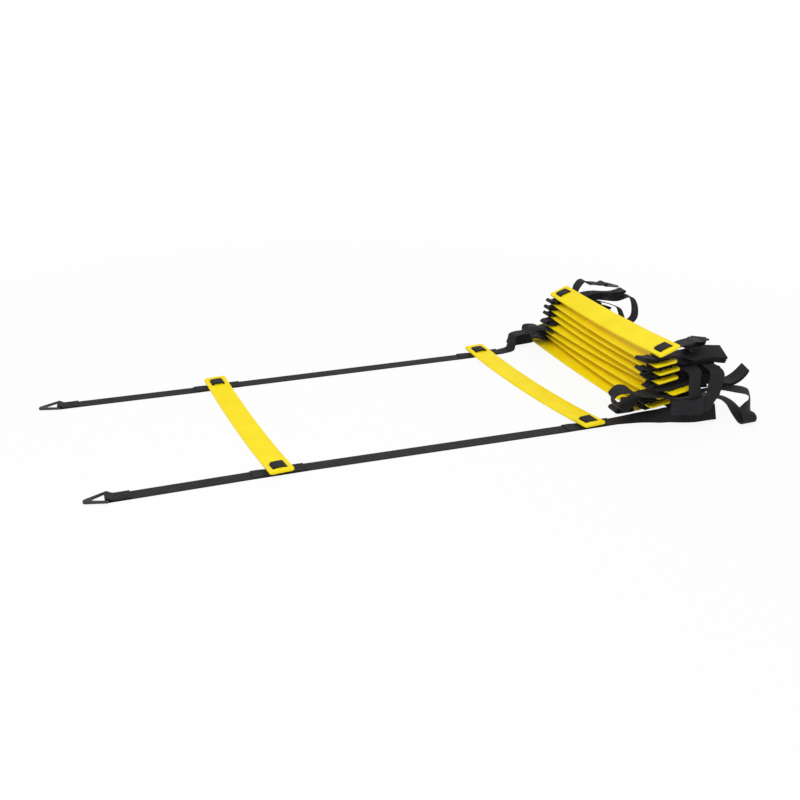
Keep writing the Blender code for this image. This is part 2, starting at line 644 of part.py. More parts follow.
# Wide folds on the left that hang out from the pile
LEFT_FOLD_SHARES = {
    ("near", 2): [(-3.05, -15.5, 0.92, 0, 0), (-3.9, -15.6, 0.88, 0, 0),
                  (-4.75, -15.7, 0.86, 0, 0), (-5.12, -15.7, 0.75, 0, 0),
                  (-5.28, -15.7, 0.48, 0, 0), (-5.12, -15.7, 0.21, 0, 0),
                  (-4.75, -15.7, 0.1, 0, 0), (-4.0, -15.7, 0.1, 0, 0)],
    ("near", 5): [(-2.4, -19.8, 4.42, 0, 0), (-3.9, -19.9, 4.0, 0, 0),
                  (-5.1, -20.2, 3.1, 0, 0), (-6.3, -20.6, 2.7, 0, 0),
                  (-7.7, -21.0, 3.8, 0, 0), (-7.75, -21.4, 5.4, 0, 0),
                  (-6.7, -21.8, 6.5, 0, 0), (-5.1, -22.0, 6.3, 0, 0),
                  (-3.8, -22.2, 5.5, 0, 0), (-2.3, -22.2, 5.05, 0, 0)],
    ("far", 5): [(-3.6, 17.6, 3.85, 0, 0), (-4.8, 17.4, 3.45, 0, 0),
                 (-6.2, 17.0, 3.6, 0, 0), (-6.7, 16.6, 4.35, 0, 0),
                 (-6.1, 16.2, 5.0, 0, 0), (-4.8, 15.8, 5.0, 0, 0),
                 (-3.9, 15.3, 4.55, 0, 0)],
}


def folded_route(side, number, stretch):
    """A bay's rows out, its folds drawn out to length, and its rows back."""
    going, first, run, layer, strands, heading, tilt, coming = ROUTE_SHARES[side, number]
    run = Vector(run) * LOOP_GRID * stretch
    layer = Vector(layer) * LOOP_GRID
    middle = bellows(on_grid(*first), run, layer, strands, half_width(heading, tilt))
    return [*drawn(going), *middle, *drawn(coming)]


def hanging_route(stretch):
    """Out, down beside the pile, to and fro above the floor, up again and back."""
    shares = HANGING_SHARES
    along, away, up = Vector((1, 0, 0)), Vector((0, 1, 0)), Vector((0, 0, 1))
    run = -Vector(shares["aside"]) * LOOP_GRID * stretch
    layer = Vector(shares["layer"]) * LOOP_GRID
    return [*corner(on_grid(*shares["out"]), along, -away, up, -1),
            *drawn(shares["down"]),
            *corner(on_grid(*shares["foot"]), -up, -along, -away, 1),
            *bellows(on_grid(*shares["left"]), run, layer, 2, -up * STRAP_WIDTH / 2),
            *corner(on_grid(*shares["turn"]), along, up, -away, -1),
            *drawn(shares["up"]),
            *corner(on_grid(*shares["back"]), away, -along, up, 1),
            *drawn(shares["home"])]


def standing_route(stretch):
    """Out, up to the slanting fold, back, and once more to and fro."""
    shares = STANDING_SHARES
    rise = Vector(shares["rise"]) * LOOP_GRID
    layer = Vector(shares["layer"]) * LOOP_GRID
    pair = Vector(shares["pair"]) * LOOP_GRID * stretch
    step = Vector(shares["step"]) * LOOP_GRID
    return [*drawn(shares["out"]),
            *bellows(on_grid(*shares["foot"]), rise, layer, 2, half_width(*shares["slant"])),
            *drawn(shares["back"]),
            *bellows(on_grid(*shares["inner"]) + pair, -pair, step, 5, half_width())]


def left_run(side, number):
    """The last stops of a bay, under the next rung's left edge."""
    sign = SIDES[side]
    return [piled_stop(number + 1, sign, -PILED_END - EDGE_RUN, PILED_STRAP_MID),
            piled_stop(number + 1, sign, -PILED_END, PILED_STRAP_MID)]


def lead_in_route(side, stretch):
    """From rung 2 on the floor to the first piled rung."""
    sign = SIDES[side]
    start = laid_out_stop(2, sign, LAID_OUT_END)
    out = folded_route(side, 2, stretch)
    if side == "far":
        return [start, *out, *left_run(side, 2)]
    over = crosses(3, sign, 0, -LEAD_IN_DRIFT)
    return [start, *out, *over, *drawn(LEFT_FOLD_SHARES[side, 2]), *left_run(side, 2)]


def bay_route(side, number, stretch):
    """From a piled rung, out to the right and back over it, to the next rung's left."""
    sign = SIDES[side]
    start = leaves(number, sign)
    level = 1 if (side, number) == ("near", 3) else 0
    over = crosses(number, sign, level)
    if (side, number) in ROUTE_SHARES:
        out = folded_route(side, number, stretch)
    else:
        out = hanging_route(stretch) if number == 8 else standing_route(stretch)
    if (side, number) in LEFT_FOLD_SHARES:
        turn = [*drawn(LEFT_FOLD_SHARES[side, number]), *left_run(side, number)]
    else:
        turn = turns_up(number, sign, level)
    return [*start, *out, *over, *turn]


def fitted_route(make_stops, length):
    """The route drawn out until the webbing has its real length."""
    low, high = 0.3, 2.5
    for _ in range(14):
        stretch = (low + high) / 2
        if route_length(make_stops(stretch)) < length:
            low = stretch
        else:
            high = stretch
    print("drawn out by", round(stretch, 3))
    return make_stops(stretch)


STRAPS = {}
for side, sign in SIDES.items():
    flat = [laid_out_stop(1, sign, LAID_OUT_END), laid_out_stop(2, sign, -LAID_OUT_END)]
    STRAPS[side, 1] = add_strap(f"{side}_bay_01", flat)
    length = RUNG_SPACING - LAID_OUT_END - PILED_END
    route = fitted_route(lambda stretch: lead_in_route(side, stretch), length)
    STRAPS[side, 2] = add_strap(f"{side}_bay_02", route)
    length = RUNG_SPACING - 2 * PILED_END
    for number in range(3, len(SEATS)):
        route = fitted_route(lambda stretch: bay_route(side, number, stretch), length)
        STRAPS[side, number] = add_strap(f"{side}_bay_{number:02d}", route)


# Tails: the strap's end wraps the ring's bar and is folded back on itself
WRAP_RADIUS = LOOP_INSIDE + HALF_STRAP
PLY_RISE = STRAP_THICKNESS + FIT_GAP


def wrap_stops(frame):
    """Round the bar and back, in a frame whose X heads for the ring and whose Z is up."""
    half = frame.to_3x3() @ Vector((0, STRAP_WIDTH / 2, 0))
    if half.y < 0:
        half = -half
    stops = [(frame @ Vector((-WRAP_RADIUS, 0, 0)), half)]
    for angle in (-90, -60, -30, 0, 30, 60, 90, 120):
        turn = math.radians(angle)
        local = Vector((WRAP_RADIUS * math.cos(turn), 0, WRAP_RADIUS * (1 + math.sin(turn))))
        stops.append((frame @ local, half))
    stops.append((frame @ Vector((-2.3 * WRAP_RADIUS, 0, 1.3 * PLY_RISE)), half))
    stops.append((frame @ Vector((-3.4 * WRAP_RADIUS, 0, PLY_RISE)), half))
    stops.append((frame @ Vector((-FOLD_BACK, 0, PLY_RISE)), half))
    return stops


def heading_frame(start, end):
    """A frame at the end whose X keeps on from the start, with Z as upright as it can be."""
    ahead = (end - start).normalized()
    aside = Vector((0, 0, 1)).cross(ahead).normalized()
    up = ahead.cross(aside)
    frame = Matrix((ahead, aside, up)).transposed().to_4x4()
    frame.translation = end
    return frame


def ring_data(name):
    """The triangular ring: its bar lies along Y and its tip points along X."""
    base = RING_BASE_WIDTH / 2 - RING_BAR_RADIUS
    tip = RING_TIP_WIDTH / 2 - RING_BAR_RADIUS
    corners = [Vector((0, -base, 0)), Vector((RING_LENGTH, -tip, 0)),
               Vector((RING_LENGTH, tip, 0)), Vector((0, base, 0))]
    points = []
    for index, corner in enumerate(corners):
        into = corners[index - 1] - corner
        out = corners[(index + 1) % len(corners)] - corner
        reach = min(RING_CORNER_RADIUS, into.length / 2.2, out.length / 2.2)
        first = corner + into.normalized() * reach
        last = corner + out.normalized() * reach
        for step in range(3):
            share = step / 2
            points.append(first.lerp(corner, share).lerp(corner.lerp(last, share), share))
    curve = bpy.data.curves.new(name, "CURVE")
    curve.dimensions = "3D"
    curve.bevel_depth = RING_BAR_RADIUS
    curve.bevel_resolution = 2
    spline = curve.splines.new("POLY")
    spline.points.add(len(points) - 1)
    for point, place in zip(spline.points, points):
        point.co = (*place, 1.0)
    spline.use_cyclic_u = True
    return curve


RINGS = {}
RING_DROP = math.asin((LOOP_OUTSIDE - RING_BAR_RADIUS) / RING_LENGTH)
TAIL_SIZES = {"near": (NEAR_TAIL_LENGTH, -NEAR_TAIL_ASIDE), "far": (FAR_TAIL_LENGTH, FAR_TAIL_ASIDE)}
for side, sign in SIDES.items():
    length, aside = TAIL_SIZES[side]
    keeper_line = SEATS[0] @ Vector((0, sign * STRAP_Y, 0))
    keeper_line.z = HALF_STRAP
    along = math.sqrt(length ** 2 - aside ** 2)
    end = keeper_line + Vector((-along, aside, 0))
    frame = heading_frame(keeper_line, end)
    first = laid_out_stop(1, sign, -LAID_OUT_END)
    wrap = wrap_stops(frame)
    straight = frame @ Vector((-FOLD_BACK, 0, 0))
    STRAPS[side, 0] = add_strap(f"{side}_tail_01", [first, (straight, wrap[0][1]), *wrap])
    ring = add_object(f"{side}_ring_01", ring_data(f"{side}_ring_01"), BLACK_PLASTIC)
    bar = frame @ Matrix.Translation((0, 0, WRAP_RADIUS))
    ring.matrix_world = bar @ Matrix.Rotation(RING_DROP, 4, "Y")
    RINGS[side, 0] = ring

# The last rung's tails arch over the top of the pile
PILE_TAIL_SHARES = {
    "near": [(3.0, -22.9, 13.7, 0, 0), (4.1, -22.95, 14.1, 0, 0), (5.1, -23.0, 13.88, 0, 0),
             (5.5, -23.0, 13.72, 0, 0), (5.6, -23.0, 13.45, 0, 0), (5.35, -23.0, 13.22, 0, 0),
             (4.5, -22.9, 13.1, 0, 0),
             (3.75, -22.8, 13.02, 0, 0), (3.45, -22.75, 12.76, 0, 0), (3.75, -22.7, 12.5, 1, 0),
             (4.5, -22.5, 12.6, 12, 0), (5.2, -21.9, 12.8, 34, 0)],
    "far": [(2.9, 14.8, 12.4, 0, 0), (3.9, 14.85, 13.4, 0, 0), (4.7, 14.9, 13.3, 0, 0)],
}
PILE_TAIL_RUN_SHARES = {
    "near": ((5.8, -21.2, 12.8), (8.3, -18.2, 11.6)),
    "far": ((5.3, 15.0, 12.5), (8.7, 15.2, 11.8)),
}
PILE_RING_DROP = math.radians(4)
for side, sign in SIDES.items():
    run_start, run_end = [Vector((PILE_X + x * LOOP_GRID, y * LOOP_GRID, z * LOOP_GRID))
                          for x, y, z in PILE_TAIL_RUN_SHARES[side]]
    frame = heading_frame(run_start, run_end)
    wrap = wrap_stops(frame)
    straight = frame @ Vector((-FOLD_BACK, 0, 0))
    stops = [*leaves(len(SEATS), sign), *drawn(PILE_TAIL_SHARES[side]),
             (run_start, wrap[0][1]), (straight, wrap[0][1]), *wrap]
    STRAPS[side, 10] = add_strap(f"{side}_tail_10", stops)
    ring = add_object(f"{side}_ring_10", ring_data(f"{side}_ring_10"), BLACK_PLASTIC)
    bar = frame @ Matrix.Translation((0, 0, WRAP_RADIUS))
    ring.matrix_world = bar @ Matrix.Rotation(PILE_RING_DROP, 4, "Y")
    RINGS[side, 10] = ring


# Joint axes: the webbing creases beside the sewn tabs and folds upwards
CREASE_HEIGHT = STRAP_THICKNESS + FIT_GAP / 2


def crease(name, number, along):
    """An empty on the crease line beside a laid-out rung, with its Y along the rung."""
    seat = SEATS[number - 1]
    place = seat @ Vector((along, 0, 0))
    place.z = CREASE_HEIGHT
    return add_empty(name, Matrix.Translation(place) @ seat.to_3x3().to_4x4())


CREASE_ALONG = LAID_OUT_END - FIT_GAP / 2
hinge_2 = crease("hinge_rung_2", 2, CREASE_ALONG)
hinge_bay = crease("hinge_bay_1", 2, -CREASE_ALONG)
hinge_1 = crease("hinge_rung_1", 1, CREASE_ALONG)
hinge_tails = crease("hinge_tails", 1, -CREASE_ALONG)
hang_on(hinge_bay, hinge_2)
hang_on(hinge_1, hinge_bay)
hang_on(hinge_tails, hinge_1)
hang_on(RUNGS[2], hinge_2)
hang_on(RUNGS[1], hinge_1)
for side in SIDES:
    hang_on(KEEPERS[side, 2], hinge_2)
    hang_on(STRAPS[side, 1], hinge_bay)
    hang_on(KEEPERS[side, 1], hinge_1)
    hang_on(STRAPS[side, 0], hinge_tails)
    hang_on(RINGS[side, 0], hinge_tails)
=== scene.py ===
# %% [markdown]
# # An agility ladder, dressed for the camera
# The ladder is ten flat plastic rungs on two long straps of black webbing. The frame of the
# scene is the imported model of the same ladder: it says where every rung and every fold of
# webbing lies. This script keeps those places and gives each piece the shape and the finish
# that the eye sees.

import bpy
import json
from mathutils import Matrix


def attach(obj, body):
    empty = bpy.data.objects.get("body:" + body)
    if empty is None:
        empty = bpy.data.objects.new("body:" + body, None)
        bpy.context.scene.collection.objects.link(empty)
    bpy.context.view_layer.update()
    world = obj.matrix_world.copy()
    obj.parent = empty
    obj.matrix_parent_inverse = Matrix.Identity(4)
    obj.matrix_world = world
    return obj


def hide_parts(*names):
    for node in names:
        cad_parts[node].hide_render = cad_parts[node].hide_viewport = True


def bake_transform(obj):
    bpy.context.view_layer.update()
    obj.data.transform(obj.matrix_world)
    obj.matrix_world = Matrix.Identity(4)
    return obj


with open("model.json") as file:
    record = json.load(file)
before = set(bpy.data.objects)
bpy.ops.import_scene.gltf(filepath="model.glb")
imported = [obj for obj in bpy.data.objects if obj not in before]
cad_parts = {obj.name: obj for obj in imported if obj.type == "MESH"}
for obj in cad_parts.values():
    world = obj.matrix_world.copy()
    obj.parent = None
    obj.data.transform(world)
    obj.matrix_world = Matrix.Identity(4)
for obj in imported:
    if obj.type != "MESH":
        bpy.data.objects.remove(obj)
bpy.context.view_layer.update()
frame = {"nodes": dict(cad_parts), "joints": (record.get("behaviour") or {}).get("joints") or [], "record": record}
print("nodes in the frame:", len(frame["nodes"]))

# %% [markdown]
# Everything else comes from Blender's own modules. Lengths are written in millimetres times
# `mm`, because webbing and plastic slats are measured that way.

# %% Modules and units
import json
import math
from itertools import combinations

import bmesh
import bpy
import numpy as np
from mathutils import Matrix, Vector

mm = 0.001
scene = bpy.context.scene

# %% [markdown]
# ## The camera
# The ladder was seen from a standing eye with a normal lens. The corners of the two rungs on
# the floor fix where that eye was: a metre and a half in front, a little to the left, and
# looking down by 22.5 degrees. The heading turns about Z and the tilt about the camera's own
# X. The last small turn is there because the real camera was held a little askew.

# %% Place the camera
def add_camera(location, heading, tilt, askew, lens):
    data = bpy.data.cameras.new("eye")
    data.lens = lens
    data.sensor_width = 36
    made = bpy.data.objects.new("eye", data)
    scene.collection.objects.link(made)
    turn = (Matrix.Rotation(math.radians(heading), 4, "Z")
            @ Matrix.Rotation(math.radians(90 - tilt), 4, "X")
            @ Matrix.Rotation(math.radians(askew), 4, "Z"))
    made.matrix_world = Matrix.Translation(location) @ turn
    return made


eye = add_camera(location=(-0.20825, -1.55818, 0.68299), heading=-16.915, tilt=22.5485,
                 askew=-1.449, lens=46.59)
scene.camera = eye
scene.view_settings.view_transform = "Standard"
print("camera at", [round(value, 3) for value in eye.location])

# %% [markdown]
# ## Sums with sockets
# A procedural finish is mostly arithmetic on textures. A small class wraps a node's output
# and overloads the operators, so a weave can be written as a formula, and each operator adds
# its own Math node. One more method makes any other kind of node.

# %% A wrapper for sockets
class Wire:
    def __init__(self, tree, socket):
        self.tree = tree
        self.socket = socket

    def node(self, kind, inputs, **settings):
        return make_node(self.tree, kind, inputs, **settings)

    def math(self, operation, *others):
        inputs = {0: self}
        inputs.update({place + 1: other for place, other in enumerate(others)})
        return self.node("ShaderNodeMath", inputs, operation=operation)

    def __add__(self, other): return self.math("ADD", other)
    def __radd__(self, other): return self.math("ADD", other)
    def __rsub__(self, other): return (self * -1) + other
    def __mul__(self, other): return self.math("MULTIPLY", other)
    def __rmul__(self, other): return self.math("MULTIPLY", other)
    def __truediv__(self, other): return self.math("DIVIDE", other)
    def __pow__(self, other): return self.math("POWER", other)
    def floor(self): return self.math("FLOOR")
    def fract(self): return self.math("FRACT")
    def abs(self): return self.math("ABSOLUTE")
    def sine(self): return self.math("SINE")

    def ramp(self, low, high):
        """0 below low, 1 above high, and a smooth step between them."""
        inputs = {0: self, 1: low, 2: high}
        return self.node("ShaderNodeMapRange", inputs, interpolation_type="SMOOTHSTEP")


def make_node(tree, kind, inputs, output=0, **settings):
    made = tree.nodes.new(kind)
    for name, value in settings.items():
        setattr(made, name, value)
    for place, value in inputs.items():
        if isinstance(value, Wire):
            tree.links.new(value.socket, made.inputs[place])
        else:
            made.inputs[place].default_value = value
    return Wire(tree, made.outputs[output])


print("operators ready")

# %% [markdown]
# Every finish starts from the same Principled shader. Its plain numbers are set on the
# shader's own sockets, and only what changes over the surface is linked.

# %% A finish and its shader
def linear(red, green, blue):
    """A colour picked on a screen, each value from 11 to 255, as the renderer's linear light."""
    return tuple(((value / 255 + 0.055) / 1.055) ** 2.4 for value in (red, green, blue)) + (1.0,)


def new_finish(name, **plain):
    made = bpy.data.materials.new(name)
    made.use_nodes = True
    tree = made.node_tree
    shader = tree.nodes["Principled BSDF"]
    for key, value in plain.items():
        shader.inputs[key.replace("_", " ")].default_value = value
    return made, tree, shader


def blend_colours(tree, factor, first, second):
    return make_node(tree, "ShaderNodeMix", {0: factor, 6: first, 7: second}, output=2,
                     data_type="RGBA")


def bump(tree, shader, height, depth):
    shaped = make_node(tree, "ShaderNodeBump", {"Height": height, "Distance": depth,
                                                "Strength": 1.0})
    tree.links.new(shaped.socket, shader.inputs["Normal"])


print("yellow on the screen:", [round(value, 3) for value in linear(250, 226, 20)])

# %% [markdown]
# ## Yellow plastic
# The rungs are injection moulded: a bright, even yellow with a satin skin. Up close the skin
# is never quite flat. It has a very fine orange peel, long shallow scuffs from being dragged
# over a floor, and a slightly deeper yellow where the plastic is thick.

# %% Finish of the rungs
def yellow_plastic():
    made, tree, shader = new_finish("yellow_plastic", Specular_IOR_Level=0.1)
    place = make_node(tree, "ShaderNodeTexCoord", {}, output=3)
    peel = make_node(tree, "ShaderNodeTexNoise", {"Vector": place, "Scale": 900.0,
                                                  "Detail": 2.0})
    cloud = make_node(tree, "ShaderNodeTexNoise", {"Vector": place, "Scale": 22.0,
                                                   "Detail": 3.0})
    streaked = make_node(tree, "ShaderNodeMapping", {"Vector": place,
                                                     "Scale": (900.0, 45.0, 300.0)})
    scuff = make_node(tree, "ShaderNodeTexNoise", {"Vector": streaked, "Scale": 1.0,
                                                   "Detail": 4.0})
    worn = scuff.ramp(0.60, 0.74) * cloud.ramp(0.45, 0.62)
    body = blend_colours(tree, cloud.ramp(0.3, 0.7), linear(250, 222, 12),
                         linear(253, 229, 26))
    colour = blend_colours(tree, worn * 0.3, body, linear(255, 236, 84))
    tree.links.new(colour.socket, shader.inputs["Base Color"])
    rough = 0.36 + 0.10 * cloud + 0.16 * worn
    tree.links.new(rough.socket, shader.inputs["Roughness"])
    bump(tree, shader, peel * 0.5 + worn * -0.6, 0.06 * mm)
    return made


YELLOW_PLASTIC = yellow_plastic()
print("finish:", YELLOW_PLASTIC.name)

# %% [markdown]
# ## Black webbing
# The straps are woven polypropylene: twelve or so plump columns of yarn side by side, each
# crossed by the weft in short steps, and a tight round edge. The pattern has to follow the
# strap through every fold, so it reads the strap's own UV map, in which one unit is a metre
# along the strap and a metre across it.

# %% Finish of the webbing
YARN_PITCH = 2.1 * mm
WEFT_PITCH = 2.6 * mm
SELVEDGE_PITCH = 0.9 * mm
SELVEDGE_FROM = 11.3 * mm
SELVEDGE_TO = 11.9 * mm
KEPT_POSITIVE = 100


def black_webbing():
    made, tree, shader = new_finish("black_webbing", Specular_IOR_Level=0.14,
                                    Sheen_Weight=0.05, Sheen_Roughness=0.45,
                                    Sheen_Tint=(0.75, 0.75, 0.8, 1.0))
    uv = make_node(tree, "ShaderNodeUVMap", {}, uv_map="webbing")
    split = tree.nodes.new("ShaderNodeSeparateXYZ")
    tree.links.new(uv.socket, split.inputs[0])
    along = Wire(tree, split.outputs[0])
    across = Wire(tree, split.outputs[1])
    column = across / YARN_PITCH + (KEPT_POSITIVE + 0.5)
    step = along / WEFT_PITCH + column.floor() * 0.5 + KEPT_POSITIVE
    weft = 0.45 + 0.55 * (step.fract() * math.pi).sine() ** 0.7
    yarn = ((column.fract() * math.pi).sine() ** 0.6) * weft
    edge = across.abs().ramp(SELVEDGE_FROM, SELVEDGE_TO)
    selvedge = (along * (math.pi / SELVEDGE_PITCH)).sine().abs()
    height = yarn * (1 - edge) + selvedge * edge
    place = make_node(tree, "ShaderNodeTexCoord", {}, output=3)
    fibre = make_node(tree, "ShaderNodeTexNoise", {"Vector": place, "Scale": 2400.0,
                                                   "Detail": 2.0})
    cloud = make_node(tree, "ShaderNodeTexNoise", {"Vector": place, "Scale": 35.0,
                                                   "Detail": 3.0})
    # Painted shade and highlight: the colour follows the weave's height, darker in the grooves between yarns and
    # weft steps and lighter on the yarn tops and the selvedge ridges; the fibre noise adds a random tone.
    lit = height * 0.7 + fibre * 0.3
    body = blend_colours(tree, lit, linear(12, 12, 14), linear(50, 49, 52))
    dusty = blend_colours(tree, cloud.ramp(0.52, 0.75) * 0.2, body, linear(70, 69, 68))
    tree.links.new(dusty.socket, shader.inputs["Base Color"])
    rough = 0.78 - 0.18 * height
    tree.links.new(rough.socket, shader.inputs["Roughness"])
    bump(tree, shader, height + fibre * 0.25, 0.35 * mm)
    return made


BLACK_WEBBING = black_webbing()
print("finish:", BLACK_WEBBING.name)

# %% [markdown]
# The seams are sewn with bonded thread. It is a little shinier than the webbing and shows the
# slant of its ply.

# %% Finish of the thread
def black_thread():
    made, tree, shader = new_finish("black_thread", Specular_IOR_Level=0.45)
    place = make_node(tree, "ShaderNodeTexCoord", {}, output=3)
    ply = make_node(tree, "ShaderNodeTexWave", {"Vector": place, "Scale": 700.0,
                                                "Distortion": 1.5}, output=1)
    # Painted highlight and shade: the colour follows the ply bands that also make the bumps, lighter on each ply's
    # ridge and darker in the groove between plies.
    colour = blend_colours(tree, ply, linear(20, 20, 22), linear(52, 51, 54))
    tree.links.new(colour.socket, shader.inputs["Base Color"])
    rough = 0.45 + 0.15 * ply
    tree.links.new(rough.socket, shader.inputs["Roughness"])
    bump(tree, shader, ply, 0.08 * mm)
    return made


BLACK_THREAD = black_thread()
print("finish:", BLACK_THREAD.name)

# %% [markdown]
# ## Black plastic
# The rings are small mouldings of hard black plastic, shinier than the webbing, with a fine
# grain and edges rubbed a little paler.

# %% Finish of the rings
def black_plastic():
    made, tree, shader = new_finish("black_plastic", Specular_IOR_Level=0.5)
    place = make_node(tree, "ShaderNodeTexCoord", {}, output=3)
    grain = make_node(tree, "ShaderNodeTexNoise", {"Vector": place, "Scale": 1500.0,
                                                   "Detail": 3.0})
    cloud = make_node(tree, "ShaderNodeTexNoise", {"Vector": place, "Scale": 120.0,
                                                   "Detail": 2.0})
    colour = blend_colours(tree, cloud.ramp(0.4, 0.7), linear(30, 30, 32), linear(44, 43, 45))
    tree.links.new(colour.socket, shader.inputs["Base Color"])
    rough = 0.28 + 0.2 * cloud
    tree.links.new(rough.socket, shader.inputs["Roughness"])
    bump(tree, shader, grain, 0.05 * mm)
    return made


BLACK_PLASTIC = black_plastic()
print("finish:", BLACK_PLASTIC.name)

# %% [markdown]
# ## Where the rungs sit
# Each rung has a seat: a frame of its own with X across the slat, Y along it and Z up. The
# first two lie on the floor. The other eight are piled, each a little turned, rolled and
# leaning, because the folded webbing under its near end is thicker than under its far end.

# %% Seats
RUNG_LENGTH = 420 * mm
RUNG_WIDTH = 38 * mm
RUNG_THICKNESS = 4 * mm
STRAP_WIDTH = 25 * mm
STRAP_THICKNESS = 1.6 * mm
STRAP_Y = RUNG_LENGTH / 2 - 23 * mm
FIT_GAP = 0.3 * mm
HALF_SLAT = RUNG_THICKNESS / 2
HALF_STRAP = STRAP_THICKNESS / 2
SIDES = {"near": -1, "far": 1}


def bow_height(y, bow):
    """How high the slat's middle plane lies over its height at the straps."""
    return bow * ((2 * y / RUNG_LENGTH) ** 2 - (2 * STRAP_Y / RUNG_LENGTH) ** 2)


def play_for(bow):
    """Room between slat and webbing, because flat webbing can't follow the bow."""
    return 2 * bow * STRAP_Y / (RUNG_LENGTH / 2) ** 2 * STRAP_WIDTH / 2 + FIT_GAP


LAID_OUT_BOW = 9 * mm
PILED_BOW = 5 * mm
LAID_OUT_PLAY = play_for(LAID_OUT_BOW)
PILED_PLAY = play_for(PILED_BOW)
TOUCHES_FLOOR_Y = RUNG_LENGTH / 14
SEAT_HEIGHT = HALF_SLAT - bow_height(TOUCHES_FLOOR_Y, LAID_OUT_BOW)
LAYER = 2 * (HALF_SLAT + PILED_PLAY) + 4 * STRAP_THICKNESS + 2 * FIT_GAP
PILE_X = 636 * mm
print("layer of the pile:", round(LAYER / mm, 2), "mm")

# %% [markdown]
# The pile is a table of small shifts, read one by one. A row holds a rung's place across the pile in
# rung widths and along it in rung lengths, the heights of its near and far end in layers, and
# its turn and its roll in degrees.

# %% Seats of the pile
LAID_OUT = {1: (0.0, 0.0, 5.6), 2: (500 * mm, -8.4 * mm, 6.4)}
FIRST_PILED = 3
PILE = [
    (-0.263, 0.071, 0.745, 0.745, 2.0, 8.0), (0.066, -0.014, 2.07, 1.88, 0.0, 8.0),
    (0.079, -0.024, 3.357, 3.017, 2.5, 8.0), (0.184, -0.086, 4.542, 4.123, 4.0, 8.0),
    (0.066, -0.055, 5.845, 5.27, 0.0, 8.0), (0.053, -0.062, 7.07, 6.31, 0.0, 8.0),
    (-0.053, -0.074, 8.31, 7.37, -1.5, 8.0), (-0.079, -0.095, 10.19, 8.87, -1.5, 20.0),
]


def laid_out_seat(x, y, turn):
    return Matrix.Translation((x, y, SEAT_HEIGHT)) @ Matrix.Rotation(math.radians(turn), 4, "Z")


def piled_seat(x, y, near, far, turn, roll):
    lean = math.atan((far - near) * LAYER / (2 * STRAP_Y))
    middle = (near + far) / 2 * LAYER
    return (Matrix.Translation((PILE_X + x * RUNG_WIDTH, y * RUNG_LENGTH, middle))
            @ Matrix.Rotation(math.radians(turn), 4, "Z")
            @ Matrix.Rotation(lean, 4, "X")
            @ Matrix.Rotation(math.radians(-roll), 4, "Y"))


TURNS = {number: math.radians(turn) for number, (_, _, turn) in LAID_OUT.items()}
SEATS = {number: laid_out_seat(*row) for number, row in LAID_OUT.items()}
for number, row in enumerate(PILE, start=FIRST_PILED):
    SEATS[number] = piled_seat(*row)
LAST_RUNG = max(SEATS)
print("seats:", len(SEATS))

# %% [markdown]
# Which body of the ladder a piece moves with follows from its rung: the first two rungs fold
# on the webbing, and everything else belongs to the pile.

# %% Bodies of the pieces
def body_of(node):
    for body, members in frame["record"]["behaviour"]["bodies"].items():
        if node in members:
            return body
    return "pile"


def placed(mesh, finish):
    """Gives a made mesh its object, named alike, and its finish."""
    made = bpy.data.objects.new(mesh.name, mesh)
    mesh.materials.clear()
    mesh.materials.append(finish)
    scene.collection.objects.link(made)
    return made


def finished(mesh, finish, node):
    """A piece that takes the place of a node and moves with it."""
    made = placed(mesh, finish)
    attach(made, body_of(node))
    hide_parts(node)


print("rung_01 rides on", body_of("rung_01"))

# %% [markdown]
# ## A rung
# The slat starts as a cube scaled to size. Bevels round its four corners in plan and then
# its long edges. Cuts across it give it the rows of vertices that the bow needs, and the two
# slots near each end are Booleans, because a slot's rounded outline would be hard to weave
# into the slat's own faces.

# %% Slat and slots
SLOT_X = 9.6 * mm
SLOT_WIDTH = 4.2 * mm
GATHERED_SHARE = 0.86
SLOT_SLACK = 2.4 * mm
SLOT_CORNER = 1.6 * mm
SLOT_ROUNDING = 0.35 * mm
TOOL_HEIGHT = 16 * mm
SLAT_CORNER = 5 * mm
SLAT_ROUNDING = 0.9 * mm
SLAT_STATIONS = 42


def rise(edge):
    return abs(edge.verts[0].co.z - edge.verts[1].co.z)


def bevelled(shape, edges, width, segments, clamp=False):
    bmesh.ops.bevel(shape, geom=edges, offset=width, segments=segments, profile=0.5,
                    affect="EDGES", material=-1, clamp_overlap=clamp)


def slot_tool(x, y, bow):
    shape = bmesh.new()
    bmesh.ops.create_cube(shape, size=1.0)
    size = (SLOT_WIDTH, GATHERED_SHARE * STRAP_WIDTH + SLOT_SLACK, TOOL_HEIGHT)
    bmesh.ops.scale(shape, vec=size, verts=shape.verts)
    upright = [edge for edge in shape.edges if rise(edge) > TOOL_HEIGHT / 2]
    bevelled(shape, upright, SLOT_CORNER, segments=5)
    bmesh.ops.translate(shape, vec=(x, y, bow_height(y, bow)), verts=shape.verts)
    mesh = bpy.data.meshes.new("slot_tool")
    shape.to_mesh(mesh)
    shape.free()
    made = bpy.data.objects.new("slot_tool", mesh)
    scene.collection.objects.link(made)
    return made


